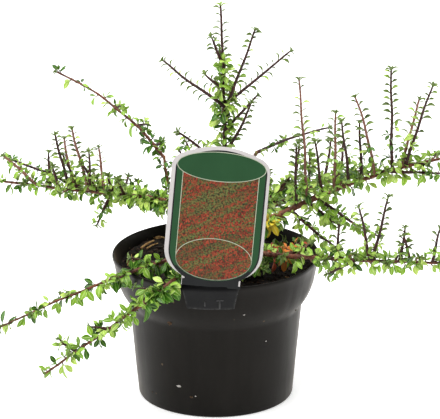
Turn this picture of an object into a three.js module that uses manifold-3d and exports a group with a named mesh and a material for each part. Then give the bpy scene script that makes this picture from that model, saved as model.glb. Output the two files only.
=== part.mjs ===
// A young dwarf cotoneaster in a round nursery pot, with the pictured label that hooks over the pot's rim.
// The origin is at the centre of the pot's flat underside. +Z is up, and the label faces -Y.
import * as THREE from "three";
import { mergeVertices } from "three/addons/utils/BufferGeometryUtils.js";
import Module from "manifold-3d";

const wasm = await Module();
wasm.setup();

// Driving dimensions, in millimetres and degrees.
// Azimuth 0 is +X and 90 is +Y, and climb is the angle above level.
// Turn and lift are what azimuth and climb gain along a limb.
const CLEARANCE = 0.3;
const POT = {
  height: 118,
  rimRadius: 83.5,
  wall: 1.8,
  floor: 2.4,
  footBevel: 1.5,
  facets: 40,
  holes: 8,
  holeRadius: 5,
  holeCircle: 46,
};
// The pot's outer radius at heights from its foot to its rim: a tapered body, a step and a deep collar.
const POT_OUTLINE = [
  [0, 62.8],
  [77, 69.8],
  [80, 71.6],
  [86, 75.4],
  [97, 79.8],
  [POT.height, POT.rimRadius],
];
const COMPOST = { top: 107, edgeDrop: 1.5, flatRadius: 58 };
const LABEL = {
  width: 77,
  height: 112,
  neckWidth: 46,
  neckHeight: 7.6,
  shoulder: 21.4,
  shoulderPull: 14.5,
  crown: 11,
  corner: 9,
  thickness: 1,
  lean: 10,
  roll: 5.2,
  offset: -4.2,
  setBack: 0.6,
  tongueWidth: 45,
  tongueDepth: 19,
  flapDepth: 9,
  clearance: 0.5,
};
const TRUNK = { azimuth: 40, climb: 80, height: 24, foot: 1, thick: [13, 9], flare: 4.5, lobes: 5 };
const LEAF = {
  length: 13.5,
  width: 7.5,
  thickness: 1,
  sink: 0.55,
  angle: 58,
  spacing: 7.3,
  youngShare: 0.75,
  clearance: 0.4,
};
const TWIG = { thick: [2.7, 2] };

// The boughs leave the trunk at a height above the compost, and end where they enter their foliage.
const BOUGHS = {
  right: { height: 14, azimuth: -12, climb: 38, length: 60, turn: 8, lift: -12, thick: [8.6, 6.6] },
  left: { height: 12, azimuth: 176, climb: 52, length: 73, turn: 2, lift: -28, thick: [5.8, 4.4] },
  leader: { height: 24, azimuth: 72, climb: 76, length: 51, turn: 0, lift: 6, thick: [6, 4] },
  back_left: { height: 20, azimuth: 150, climb: 12, length: 89, turn: 0, lift: 77, thick: [4.2, 3.2] },
  back_right: { height: 21, azimuth: 51, climb: 68, length: 80, turn: 0, lift: -30, thick: [4, 2.8] },
  back: { height: 11, azimuth: 98, climb: 28, length: 52, turn: 0, lift: -14, thick: [5.2, 4.2] },
  back_left_low: { height: 8, azimuth: 124, climb: 40, length: 56, turn: 8, lift: -28, thick: [4.6, 3.6] },
  back_right_low: { height: 9, azimuth: 42, climb: 38, length: 54, turn: 0, lift: -18, thick: [5.2, 4.2] },
  right_low: { height: 6, azimuth: -52, climb: 32, length: 56, turn: 26, lift: -33, thick: [5.2, 4.2] },
  front_left_high: {
    height: 7.5, azimuth: 222, climb: 20, length: 56,
    turn: -1, lift: -20, thick: [4, 3.2],
  },
  front_left_low: {
    height: 4.5, azimuth: 248, climb: 17, length: 86,
    turn: -4, lift: -20, thick: [4, 3.2],
  },
};

// Each mass of foliage goes on from its bough, or from the trunk at a height.
// A shoot is [share of the stem, length, azimuth, climb, lift].
const FOLIAGE = {
  right: {
    azimuth: 3, climb: 28, length: 148, turn: 3, lift: -20, thick: [6, 2],
    shoots: [
      [0.09, 53, 265, 84, 0], [0.16, 100, 140, 86, -3], [0.25, 46, 215, 80, 0], [0.315, 62, 85, 80, 0],
      [0.4, 56, 235, 80, -4], [0.475, 46, 100, 78, 0], [0.55, 66, 160, 83, -16], [0.645, 86, 250, 85, 0],
      [0.7, 56, 45, 72, -4], [0.72, 72, -20, 75, -4], [0.63, 44, -8, -2, 4], [0.215, 60, -15, -36, 14],
      [0.155, 31, -14, -36, 6], [0.055, 48, -20, -38, 6],
    ],
  },
  left: {
    azimuth: 175, climb: 4, length: 121, turn: -6, lift: 0, thick: [4, 1.8],
    shoots: [
      [0.17, 16, 240, 60, 0], [0.3, 37, 130, 78, 0], [0.4, 36, 265, 78, 0], [0.41, 55, 200, 74, 4],
      [0.54, 51, 226, 74, 0], [0.51, 42, 130, 74, 0], [0.67, 28, 100, 76, 0], [0.26, 27, 210, -62, 0],
      [0.43, 71, 164, 22, -8], [0.76, 36, 176, 42, 0],
    ],
  },
  leader: {
    azimuth: 88, climb: 83, length: 139, turn: 24, lift: -2, thick: [3.8, 1.8],
    shoots: [
      [0.05, 50, 196, 40, 0], [0.12, 50, -14, 58, 12], [0.265, 38, 24, 42, 0], [0.41, 61, 165, 31, 6],
      [0.37, 75, -20, 69, 2], [0.41, 69, 18, 36, 0], [0.51, 23, 215, 40, 0], [0.65, 26, 205, 66, 0],
      [0.3, 34, 80, 44, 0], [0.55, 30, 100, 50, 0],
    ],
  },
  back_left: {
    azimuth: 142.5, climb: 42.3, length: 116, turn: 21, lift: -22.7, thick: [3, 1.8],
    shoots: [[0.1, 20, 75, -5, 0], [0.3, 18, 65, -10, 0], [0.5, 16, 80, -8, 0]],
  },
  back_right: {
    azimuth: 34, climb: 14, length: 72, turn: 0, lift: -14, thick: [2.7, 1.8],
    shoots: [[0.35, 20, 80, -12, 0]],
  },
  back: {
    azimuth: 96, climb: 12, length: 116, turn: 4, lift: -12, thick: [4, 1.8],
    shoots: [
      [0.12, 30, 20, 40, 10], [0.25, 34, 160, 34, 10], [0.4, 30, 30, 46, 10], [0.55, 30, 160, 40, 10],
      [0.7, 24, 60, 44, 10], [0.85, 20, 130, 44, 10],
    ],
  },
  back_left_low: {
    azimuth: 146, climb: 8, length: 104, turn: 4, lift: -8, thick: [3.4, 1.8],
    shoots: [[0.15, 22, 90, 30, 10], [0.35, 20, 110, 28, 0], [0.55, 18, 80, 28, 0], [0.75, 18, 120, 30, 0]],
  },
  back_right_low: {
    azimuth: 42, climb: 10, length: 120, turn: 5, lift: -12, thick: [4, 1.8],
    shoots: [
      [0.12, 30, 100, 40, 10], [0.32, 44, 76, 68, 0], [0.47, 30, 90, 50, 0], [0.62, 36, 60, 72, 0],
      [0.78, 28, 80, 66, 0],
    ],
  },
  right_low: {
    azimuth: -11, climb: -1, length: 150, turn: 0, lift: 4, thick: [4, 1.8],
    shoots: [
      [0.37, 29, 60, 86, 0], [0.54, 45, 175, 80, -4], [0.55, 54, 5, 76, 2], [0.7, 28, 0, 82, 0],
      [0.755, 22, 180, 77, 0], [0.87, 28, 0, 79, 0], [0.47, 28, 215, -14, 4],
    ],
  },
  front_left_high: {
    azimuth: 214, climb: -5, length: 150, turn: -12, lift: -14, thick: [3, 1.8],
    shoots: [[0.06, 22, 186, 14, 0], [0.22, 16, 230, -4, 0]],
  },
  front_left_low: {
    azimuth: 212, climb: -27, length: 125, turn: -18, lift: -5, thick: [3, 1.8],
    shoots: [[0.14, 26, 196, -20, -6], [0.52, 14, 185, 8, 0], [0.76, 17, 180, 10, 50]],
  },
  inner_right: {
    height: 20, azimuth: 15, climb: 44, length: 74, turn: 0, lift: -14, thick: [3, 1.8],
    shoots: [[0.45, 24, 60, 40, 0], [0.6, 26, 10, 76, 0], [0.78, 22, -30, 50, 0]],
  },
  basal_right: {
    height: 4, azimuth: -22, climb: 12, length: 74, turn: -6, lift: 4, thick: [3.2, 1.8],
    shoots: [[0.4, 24, -66, 2, 0], [0.5, 24, 22, 26, 0], [0.8, 20, 34, 20, 0]],
  },
  basal_front: {
    height: 3.5, azimuth: -62, climb: 9, length: 66, turn: 12, lift: 4, thick: [3, 1.8],
    shoots: [[0.5, 20, -20, 14, 0], [0.7, 18, -100, 14, 0]],
  },
};

const COLOURS = {
  pot: { color: "#2b2a29", roughness: 0.5, metalness: 0 },
  compost: { color: "#1f1712", roughness: 1, metalness: 0 },
  label: { color: "#1f5b38", roughness: 0.35, metalness: 0 },
  bark: { color: "#7a4630", roughness: 0.8, metalness: 0 },
  leaf: { color: "#5b9a33", roughness: 0.5, metalness: 0 },
};

// Small helpers for directions, chance and solids.
const radians = THREE.MathUtils.degToRad;

function heading(azimuth, climb) {
  const level = Math.cos(radians(climb));
  return new THREE.Vector3(
    Math.cos(radians(azimuth)) * level,
    Math.sin(radians(azimuth)) * level,
    Math.sin(radians(climb)),
  );
}

function seeded(seed) {
  let state = seed;
  return (low, high) => {
    state = (state * 1664525 + 1013904223) % 4294967296;
    return low + ((high - low) * state) / 4294967296;
  };
}

// Points along a limb that sets off at an azimuth and climb, and turns and lifts evenly.
function sweep(start, { azimuth, climb, length, turn = 0, lift = 0 }, steps) {
  const points = [start.clone()];
  for (let i = 0; i < steps; i++) {
    const share = (i + 0.5) / steps;
    const step = heading(azimuth + turn * share, climb + lift * share).multiplyScalar(length / steps);
    points.push(points[i].clone().add(step));
  }
  return points;
}

// A limb is a smooth line through its points, with its diameters at both ends and its number of sides.
function makeLimb(points, thick, sides) {
  const line = new THREE.CatmullRomCurve3(points);
  const steps = points.length - 1;
  return { line, steps, frames: line.computeFrenetFrames(steps), length: line.getLength(), thick, sides };
}

function radiusAt({ thick }, share) {
  return THREE.MathUtils.lerp(thick[0], thick[1], share) / 2;
}

// The direction square to a limb at one of its rows, at an angle round it.
function outwardAt({ frames }, row, angle) {
  return frames.binormals[row]
    .clone()
    .multiplyScalar(Math.sin(angle))
    .addScaledVector(frames.normals[row], Math.cos(angle));
}

// A cylinder bent along a limb. Its surface is moved out by extra, and by bulge, which reads share and angle.
function limbGeometry(limb, extra = 0, bulge = () => 0) {
  const tube = new THREE.CylinderGeometry(1, 1, 1, limb.sides, limb.steps);
  const place = tube.attributes.position;
  for (let i = 0; i < place.count; i++) {
    const row = Math.round((place.getY(i) + 0.5) * limb.steps);
    const share = row / limb.steps;
    const angle = Math.atan2(place.getX(i), place.getZ(i));
    const onAxis = Math.hypot(place.getX(i), place.getZ(i)) < 0.5;
    const radius = onAxis ? 0 : radiusAt(limb, share) + extra + bulge(share, angle);
    const past = row === limb.steps ? extra : 0;
    const point = limb.line
      .getPointAt(share)
      .addScaledVector(limb.frames.tangents[row], past)
      .addScaledVector(outwardAt(limb, row, angle), radius);
    place.setXYZ(i, point.x, point.y, point.z);
  }
  return tube;
}

function solidOf(geometry) {
  const bare = (geometry.index ? geometry.toNonIndexed() : geometry.clone())
    .deleteAttribute("normal")
    .deleteAttribute("uv");
  const merged = mergeVertices(bare, 1e-4);
  return new wasm.Manifold(
    new wasm.Mesh({
      numProp: 3,
      vertProperties: new Float32Array(merged.attributes.position.array),
      triVerts: new Uint32Array(merged.index.array),
    }),
  );
}

function geometryOf(solid) {
  const { vertProperties, triVerts } = solid.getMesh();
  const geometry = new THREE.BufferGeometry();
  geometry.setAttribute("position", new THREE.BufferAttribute(new Float32Array(vertProperties), 3));
  geometry.setIndex(new THREE.BufferAttribute(new Uint32Array(triVerts), 1));
  geometry.computeVertexNormals();
  return geometry;
}

function largestPiece(solid) {
  return solid.decompose().reduce((most, piece) => (piece.volume() > most.volume() ? piece : most));
}

const plant = new THREE.Group();

function addNode(name, solid, colour) {
  const mesh = new THREE.Mesh(geometryOf(solid), new THREE.MeshStandardMaterial(COLOURS[colour]));
  mesh.name = name;
  plant.add(mesh);
}

function potRadius(z) {
  const height = Math.min(z, POT.height);
  const above = Math.max(POT_OUTLINE.findIndex(([level]) => level >= height), 1);
  const [[lowZ, lowRadius], [highZ, highRadius]] = POT_OUTLINE.slice(above - 1, above + 1);
  return THREE.MathUtils.mapLinear(height, lowZ, highZ, lowRadius, highRadius);
}

// The pot's wall or its filling between two heights, moved in from its outside.
function potSide(inset, lowZ, highZ) {
  const heights = POT_OUTLINE.map(([z]) => z).filter((z) => z > lowZ + 0.5 && z < highZ - 0.5);
  return [lowZ, ...heights, highZ].map((z) => [potRadius(z) - inset, z]);
}

function latheSolid(profile) {
  const points = profile.map(([radius, z]) => new THREE.Vector2(radius, z));
  return solidOf(new THREE.LatheGeometry(points, POT.facets).rotateX(Math.PI / 2));
}

// The pot has drainage holes through its flat floor.
function pot() {
  let body = latheSolid([
    [0, 0],
    [potRadius(0) - POT.footBevel, 0],
    ...potSide(0, POT.footBevel, POT.height),
    ...potSide(POT.wall, POT.floor, POT.height).reverse(),
    [0, POT.floor],
  ]);
  for (let i = 0; i < POT.holes; i++) {
    const centre = heading((360 / POT.holes) * (i + 0.5), 0).multiplyScalar(POT.holeCircle);
    const hole = new THREE.CylinderGeometry(POT.holeRadius, POT.holeRadius, POT.floor * 3, 10)
      .rotateX(Math.PI / 2)
      .translate(centre.x, centre.y, POT.floor / 2);
    body = body.subtract(solidOf(hole));
  }
  return body;
}

// The compost fills the pot to a little under the rim, level where the plant stands.
function compost() {
  const bottom = POT.floor + CLEARANCE;
  return latheSolid([
    [0, bottom],
    ...potSide(POT.wall + CLEARANCE, bottom, COMPOST.top - COMPOST.edgeDrop),
    [COMPOST.flatRadius, COMPOST.top],
    [0, COMPOST.top],
  ]);
}

// The label's own plane: X across it and Z up it, from where it stands on the rim.
const labelFrame = new THREE.Matrix4()
  .makeTranslation(LABEL.offset, LABEL.setBack - POT.rimRadius, POT.height + LABEL.thickness)
  .multiply(new THREE.Matrix4().makeRotationX(radians(-LABEL.lean)))
  .multiply(new THREE.Matrix4().makeRotationY(radians(LABEL.roll)));

function labelPlate() {
  const { height, neckHeight, shoulder, shoulderPull, crown, corner } = LABEL;
  const half = LABEL.width / 2;
  const neck = LABEL.neckWidth / 2;
  const shoulderTop = neckHeight + shoulder;
  const cornerTop = height - crown;
  const outline = new THREE.Shape();
  outline.moveTo(-neck, 0);
  outline.lineTo(neck, 0);
  outline.lineTo(neck, neckHeight);
  outline.quadraticCurveTo(half, shoulderTop - shoulderPull, half, shoulderTop);
  outline.lineTo(half, cornerTop - corner);
  outline.quadraticCurveTo(half, cornerTop, half - corner, cornerTop + corner / 3);
  outline.quadraticCurveTo(0, height + crown / 2, corner - half, cornerTop + corner / 3);
  outline.quadraticCurveTo(-half, cornerTop, -half, cornerTop - corner);
  outline.lineTo(-half, shoulderTop);
  outline.quadraticCurveTo(-half, shoulderTop - shoulderPull, -neck, neckHeight);
  outline.closePath();
  const plate = new THREE.ExtrudeGeometry(outline, {
    depth: LABEL.thickness,
    bevelEnabled: false,
    curveSegments: 5,
  });
  return plate.rotateX(Math.PI / 2).applyMatrix4(labelFrame);
}

// A strip of the label's neck, bent round the pot at a radius that follows the height.
function neckStrip(depth, lowZ, highZ, outerRadiusAt) {
  const strip = new THREE.BoxGeometry(LABEL.tongueWidth, depth, highZ - lowZ, 6, 1, 1);
  const place = strip.attributes.position;
  for (let i = 0; i < place.count; i++) {
    const z = (lowZ + highZ) / 2 + place.getZ(i);
    const radius = outerRadiusAt(z) - depth / 2 - place.getY(i);
    const angle = (LABEL.offset + place.getX(i)) / POT.rimRadius;
    place.setXYZ(i, radius * Math.sin(angle), -radius * Math.cos(angle), z);
  }
  return solidOf(strip);
}

// The neck is folded over the rim: a tongue outside the collar, a flat bridge and a flap inside.
function label() {
  const { thickness, tongueDepth, flapDepth, clearance } = LABEL;
  const bridgeZ = POT.height + CLEARANCE;
  const topZ = bridgeZ + thickness;
  const outside = (z) => potRadius(z) + clearance + thickness;
  const inside = (z) => potRadius(z) - POT.wall - clearance;
  const bridgeDepth = outside(topZ) - inside(topZ) + thickness;
  return [
    neckStrip(thickness, POT.height - tongueDepth, topZ, outside),
    neckStrip(bridgeDepth, bridgeZ, topZ, outside),
    neckStrip(thickness, POT.height - flapDepth, topZ, inside),
  ].reduce((joined, strip) => joined.add(strip), solidOf(labelPlate()));
}

// The trunk: a flat foot on the compost, a lobed root flare, a slight lean and a taper to the fork.
const trunk = makeLimb(
  sweep(
    new THREE.Vector3(TRUNK.foot, 0, COMPOST.top + CLEARANCE),
    { azimuth: TRUNK.azimuth, climb: TRUNK.climb, length: TRUNK.height },
    8,
  ),
  TRUNK.thick,
  15,
);

function trunkGeometry(extra) {
  const flare = (share, angle) =>
    TRUNK.flare * Math.exp(-share * 5) * (1 + 0.22 * Math.cos(TRUNK.lobes * angle));
  const tube = limbGeometry(trunk, extra, flare);
  const place = tube.attributes.position;
  const footZ = COMPOST.top + CLEARANCE;
  for (let i = 0; i < place.count; i++) {
    if (place.getZ(i) < footZ + TRUNK.height / 16) place.setZ(i, footZ);
  }
  return tube;
}

// Balls along everything that is already in place, to keep each mass of leaves in its own space.
const taken = [];

function takeLimb(limb, owner) {
  const count = Math.ceil(limb.length / 2);
  for (let i = 0; i <= count; i++) {
    taken.push({ centre: limb.line.getPointAt(i / count), radius: radiusAt(limb, i / count), owner });
  }
}

function takeLabel() {
  for (let x = -LABEL.width / 2; x <= LABEL.width / 2; x += 5) {
    for (let z = 0; z <= LABEL.height; z += 5) {
      taken.push({ centre: new THREE.Vector3(x, 0, z).applyMatrix4(labelFrame), radius: 3, owner: "label" });
    }
  }
}

function isFree(balls, owner) {
  const inPot = ({ centre, radius }) => {
    const fromAxis = Math.hypot(centre.x, centre.y);
    const low = centre.z - radius;
    const wallGap = Math.abs(fromAxis - potRadius(centre.z) + POT.wall / 2) - POT.wall / 2;
    if (low < COMPOST.top + 0.5 && fromAxis < potRadius(centre.z)) return true;
    return low < POT.height + 0.5 && wallGap < radius + 0.5;
  };
  const others = taken.filter((ball) => ball.owner !== owner);
  const meets = ({ centre, radius }) =>
    others.some((other) => other.centre.distanceTo(centre) < other.radius + radius + LEAF.clearance);
  return !balls.some((ball) => inPot(ball) || meets(ball));
}

// A leaf is a flat bipyramid of 6 faces with a keel below, its root sunk into the twig.
function leafAt(place, direction, outward, size) {
  const blade = direction
    .clone()
    .multiplyScalar(Math.cos(radians(LEAF.angle)))
    .addScaledVector(outward, Math.sin(radians(LEAF.angle)));
  const width = direction.clone().cross(outward).normalize();
  const half = (LEAF.length * size) / 2;
  const middle = place.clone().addScaledVector(blade, half - LEAF.sink);
  const keel = width.clone().cross(blade);
  const shape = new THREE.Matrix4()
    .makeBasis(
      keel.multiplyScalar(LEAF.thickness / 1.5),
      blade.clone().multiplyScalar(half),
      width.multiplyScalar(-(LEAF.width * size) / Math.sqrt(3)),
    )
    .setPosition(middle);
  const balls = [-0.3, 0, 0.4, 0.8].map((share) => ({
    centre: middle.clone().addScaledVector(blade, half * share),
    radius: LEAF.width * size * 0.4 * (1 - 0.8 * Math.abs(share)),
  }));
  return { solid: solidOf(new THREE.SphereGeometry(1, 3, 2).applyMatrix4(shape)), balls };
}

// Leaves wind round a twig, each from the middle of a side, younger and smaller towards its tip.
function leavesOn(twig, random) {
  const leaves = [];
  const facesApart = twig.sides > 3 ? 2 : 1;
  let face = Math.floor(random(0, twig.sides));
  for (let reach = random(3, 6); reach < twig.length; reach += LEAF.spacing * random(0.85, 1.15)) {
    const share = reach / twig.length;
    const row = Math.round(share * twig.steps);
    const outward = outwardAt(twig, row, ((face + 0.5) / twig.sides) * 2 * Math.PI);
    const size = THREE.MathUtils.lerp(1, LEAF.youngShare, share) * random(0.9, 1.1);
    const leaf = leafAt(twig.line.getPointAt(share), twig.frames.tangents[row], outward, size);
    face += facesApart;
    if (!isFree(leaf.balls, twig.owner)) continue;
    taken.push(...leaf.balls);
    leaves.push(leaf);
  }
  return leaves;
}

// Build the boughs in order: each is cut clear of the trunk and of those before it.
const cutters = [solidOf(trunkGeometry(CLEARANCE))];
const boughs = {};

function fitted(solid) {
  return largestPiece(cutters.reduce((rest, cutter) => rest.subtract(cutter), solid));
}

function startOnTrunk(height) {
  return trunk.line.getPointAt(height / TRUNK.height);
}

addNode("pot", pot(), "pot");
addNode("compost", compost(), "compost");
addNode("label", label(), "label");
addNode("trunk", solidOf(trunkGeometry(0)), "bark");
takeLabel();
takeLimb(trunk, "trunk");

for (const [name, form] of Object.entries(BOUGHS)) {
  const bough = makeLimb(sweep(startOnTrunk(form.height), form, 7), form.thick, 7);
  addNode("bough_" + name, fitted(solidOf(limbGeometry(bough))), "bark");
  cutters.push(solidOf(limbGeometry(bough, CLEARANCE)));
  boughs[name] = bough;
  takeLimb(bough, "bough_" + name);
}

// Lay out every stem and shoot before any leaf, so that the leaves keep clear of them all.
const masses = Object.entries(FOLIAGE).map(([name, form]) => {
  const start = boughs[name] ? boughs[name].line.getPointAt(0.985) : startOnTrunk(form.height);
  const stem = makeLimb(sweep(start, form, 7), form.thick, 5);
  const shoots = form.shoots.map(([share, length, azimuth, climb, lift]) => {
    const points = sweep(stem.line.getPointAt(share), { azimuth, climb, length, lift }, lift ? 3 : 1);
    return makeLimb(points, TWIG.thick, 3);
  });
  const twigs = [stem, ...shoots].map((twig, i) => ({ ...twig, owner: name + i }));
  twigs.forEach((twig) => takeLimb(twig, twig.owner));
  return { name, twigs };
});

masses.forEach(({ name, twigs }, i) => {
  const random = seeded(i + 1);
  const leaves = twigs.flatMap((twig) => leavesOn(twig, random));
  const pieces = [...twigs.map((twig) => solidOf(limbGeometry(twig))), ...leaves.map((leaf) => leaf.solid)];
  const mass = pieces.reduce((joined, piece) => joined.add(piece));
  addNode("foliage_" + name, fitted(mass), "leaf");
});

export default plant;
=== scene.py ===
# A young dwarf cotoneaster in a round black nursery pot, with a pictured plant label over the pot's rim.
# Lengths are in millimetres until a mesh is made, and azimuth 0 is +X, 90 is +Y.
import math

import bpy
import numpy as np
from mathutils import Matrix, Vector, noise


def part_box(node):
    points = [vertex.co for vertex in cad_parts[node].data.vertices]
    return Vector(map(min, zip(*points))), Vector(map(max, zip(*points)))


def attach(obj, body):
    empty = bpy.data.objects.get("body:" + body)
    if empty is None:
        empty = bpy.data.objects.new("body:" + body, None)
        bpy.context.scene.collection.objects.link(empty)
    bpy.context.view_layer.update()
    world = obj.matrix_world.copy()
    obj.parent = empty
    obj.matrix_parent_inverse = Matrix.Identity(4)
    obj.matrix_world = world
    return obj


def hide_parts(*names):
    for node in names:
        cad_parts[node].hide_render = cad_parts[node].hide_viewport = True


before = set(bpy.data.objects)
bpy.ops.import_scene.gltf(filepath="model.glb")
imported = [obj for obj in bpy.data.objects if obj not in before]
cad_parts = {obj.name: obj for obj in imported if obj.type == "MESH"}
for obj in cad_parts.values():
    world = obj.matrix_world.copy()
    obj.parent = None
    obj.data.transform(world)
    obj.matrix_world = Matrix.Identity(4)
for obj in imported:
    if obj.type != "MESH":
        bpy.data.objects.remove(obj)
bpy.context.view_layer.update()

MM = 0.001
UP = np.array([0.0, 0.0, 1.0])
TOWARDS_VIEW = np.array([0.0, -1.0, 0.0])

# The pot, its filling and its label.
POT = {
    "height": 118, "rim": 83.5, "wall": 1.8, "floor": 2.4, "hole": 5, "holes": 8, "hole_circle": 46,
    "facets": 144, "uneven": 0.35, "crease_height": 98, "crease_reach": 8,
    "creases": [(-41, 2.2, 0.6), (-35, 1.8, 0.5), (-29, 2.4, 0.65), (-14, 2.0, 0.5)],
}
POT_OUTSIDE = [
    (61.3, 0.0), (62.2, 0.4), (62.8, 1.6), (64.6, 20), (66.4, 40), (68.0, 58), (69.5, 75.6),
    (70.0, 77.6), (70.9, 79.4), (72.2, 81.4), (73.8, 83.8), (75.5, 86.6), (77.5, 91), (79.4, 96.6),
    (81.4, 107), (82.8, 114.4), (83.5, 115.6), (83.5, 117.1), (83.2, 117.8), (82.6, 118.0),
]
COMPOST = {"top": 107, "bottom": 2.8, "ring_gap": 1.5, "side_gap": 0.35, "facets": 150}
# The compost's lumps and grains: how high, how close together and where the noise is read. Then its heap.
GROUND = [(1.5, 0.09, (0, 0, 0)), (0.9, 0.21, (7, 3, 1)), (0.5, 0.55, (0, 0, 0)), (0.3, 1.3, (0, 0, 0))]
HEAP = {"middle": (-48, 44), "height": 4.5, "reach": 30}
LABEL = {
    "width": 77, "height": 112, "neck": 46, "neck_height": 7.6, "shoulder": 21.4, "shoulder_pull": 14.5,
    "crown": 11, "corner": 9, "thickness": 1, "lean": 10, "roll": 5.2, "offset": -4.2, "set_back": 0.6,
    # fold: the heights between which the tongue's painted shade deepens towards the top of the rim.
    "tongue": 45, "tongue_tip": 38.5, "tongue_depth": 19, "clearance": 0.5, "fold": (114.5, 117.5),
}
PRINT = {
    "border": 2.8, "shift": 0.5, "edging": 1.15, "line": 0.5, "picture_half": 29.9, "picture_top": 92,
    "foot_oval": (22.0, 29.9, 16.5), "head_oval": (94.9, 34.8, 11.7), "neck_border": 1.8, "dark_foot": 15,
    "dark_fold": (5.2, 2.2), "sunk": 0.1,
}

# The trunk and the boughs: where each sets off, how it climbs, turns and lifts, and its diameters.
TRUNK = {"azimuth": 40, "climb": 80, "length": 24, "foot": 1, "thick": (13, 9), "flare": 4.5, "lobes": 5}
BOUGHS = {
    "right": (14, -12, 38, 60, 8, -12, (7.2, 5.6)),
    "left": (12, 176, 70, 76, 2, -64, (4.6, 3.6)),
    "leader": (24, 72, 76, 51, 0, 6, (6, 4)),
    "back_left": (20, 150, 12, 89, 0, 77, (3.2, 2.5)),
    "back_right": (21, 51, 68, 80, 0, -30, (4, 2.8)),
    "back": (11, 98, 28, 52, 0, -14, (5.2, 4.2)),
    "back_left_low": (8, 124, 40, 56, 8, -28, (4.6, 3.6)),
    "back_right_low": (9, 42, 38, 54, 0, -18, (5.2, 4.2)),
    "right_low": (6, -52, 32, 56, 26, -33, (5.2, 4.2)),
    "front_left_high": (7.5, 222, 20, 56, -1, -20, (3.6, 2.8)),
    "front_left_low": (4.5, 248, 17, 86, -4, -20, (4, 3.2)),
}
# Each mass: its stem's azimuth, climb, length, turn, lift and diameters, then its shoots, each with its
# share along the stem, length, azimuth, climb and lift. The last three have a height up the trunk first.
FOLIAGE = {
    "right": ((3, 28, 148, 3, -20, (6, 2)), [
        (0.09, 53, 265, 84, 0), (0.16, 100, 140, 86, -3), (0.25, 46, 215, 80, 0), (0.315, 62, 85, 80, 0),
        (0.4, 56, 235, 80, -4), (0.475, 46, 100, 78, 0), (0.55, 66, 160, 83, -16), (0.645, 86, 250, 85, 0),
        (0.7, 56, 45, 72, -4), (0.72, 72, -20, 75, -4), (0.63, 44, -8, -2, 4), (0.215, 60, -15, -36, 14),
        (0.155, 31, -14, -36, 6), (0.055, 48, -20, -38, 6),
    ]),
    "left": ((175, 4, 121, -6, 0, (4, 1.8)), [
        (0.17, 16, 240, 60, 0), (0.3, 37, 130, 78, 0), (0.4, 36, 265, 78, 0), (0.41, 55, 200, 74, 4),
        (0.54, 51, 226, 74, 0), (0.51, 42, 130, 74, 0), (0.67, 28, 100, 76, 0), (0.26, 27, 210, -62, 0),
        (0.43, 71, 164, 22, -8), (0.76, 36, 176, 42, 0), (0.36, 26, 195, 66, 0), (0.47, 32, 155, 62, 0),
        (0.61, 24, 250, 62, 0), (0.24, 22, 250, 58, 0),
    ]),
    "leader": ((88, 83, 137, 24, -2, (3.8, 1.6)), [
        (0.05, 50, 196, 40, 0), (0.12, 50, -14, 58, 12), (0.265, 38, 24, 42, 0), (0.41, 61, 165, 31, 6),
        (0.37, 75, -20, 69, 2), (0.41, 69, 18, 36, 0), (0.51, 23, 215, 40, 0), (0.65, 26, 205, 66, 0),
        (0.3, 34, 80, 44, 0), (0.55, 30, 100, 50, 0),
    ]),
    "back_left": ((142.5, 42.3, 116, 21, -22.7, (2.8, 1.6)), [
        (0.1, 20, 75, -5, 0), (0.3, 18, 65, -10, 0), (0.5, 16, 80, -8, 0),
    ]),
    "back_right": ((34, 14, 72, 0, -14, (2.7, 1.5)), [(0.35, 20, 80, -12, 0)]),
    "back": ((96, 12, 116, 4, -12, (4, 1.8)), [
        (0.12, 30, 20, 40, 10), (0.25, 34, 160, 34, 10), (0.4, 30, 30, 46, 10), (0.55, 30, 160, 40, 10),
        (0.7, 24, 60, 44, 10), (0.85, 20, 130, 44, 10),
    ]),
    "back_left_low": ((146, 8, 104, 4, -8, (3.4, 1.8)), [
        (0.15, 22, 90, 30, 10), (0.35, 20, 110, 28, 0), (0.55, 18, 80, 28, 0), (0.75, 18, 120, 30, 0),
    ]),
    "back_right_low": ((42, 10, 120, 5, -12, (4, 1.8)), [
        (0.12, 30, 100, 40, 10), (0.32, 44, 76, 68, 0), (0.47, 30, 90, 50, 0), (0.62, 36, 60, 72, 0),
        (0.78, 28, 80, 66, 0),
    ]),
    "right_low": ((-11, -1, 150, 0, 4, (4, 1.8)), [
        (0.37, 29, 60, 86, 0), (0.54, 45, 175, 80, -4), (0.55, 54, 5, 76, 2), (0.7, 28, 0, 82, 0),
        (0.755, 22, 180, 77, 0), (0.87, 28, 0, 79, 0), (0.47, 28, 215, -14, 4),
    ]),
    "front_left_high": ((214, -5, 150, -12, -14, (2.6, 1.4)), [
        (0.06, 22, 186, 14, 0), (0.22, 16, 230, -4, 0),
    ]),
    "front_left_low": ((212, -27, 125, -18, -5, (3, 1.6)), [
        (0.14, 26, 196, -20, -6), (0.52, 14, 185, 8, 0), (0.76, 17, 180, 10, 50),
    ]),
    "inner_right": ((15, 44, 74, 0, -14, (3, 1.8)), [
        (0.45, 24, 60, 40, 0), (0.6, 26, 10, 76, 0), (0.78, 22, -30, 50, 0),
    ]),
    "basal_right": ((-22, 12, 74, -6, 4, (3.2, 1.8)), [
        (0.4, 24, -66, 2, 0), (0.5, 24, 22, 26, 0), (0.8, 20, 34, 20, 0),
    ]),
    "basal_front": ((-62, 9, 66, 12, 4, (3, 1.8)), [(0.5, 20, -20, 14, 0), (0.7, 18, -100, 14, 0)]),
}
TRUNK_STARTS = {"inner_right": 20, "basal_right": 4, "basal_front": 3.5}
SHOOT_THICK = (2.7, 1.5)
# A mass leaves its bough at a share of its length. Shoots that climb more than STEEP are leafed sparsely.
JOIN_SHARE = 0.985
STEEP = 58

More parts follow.
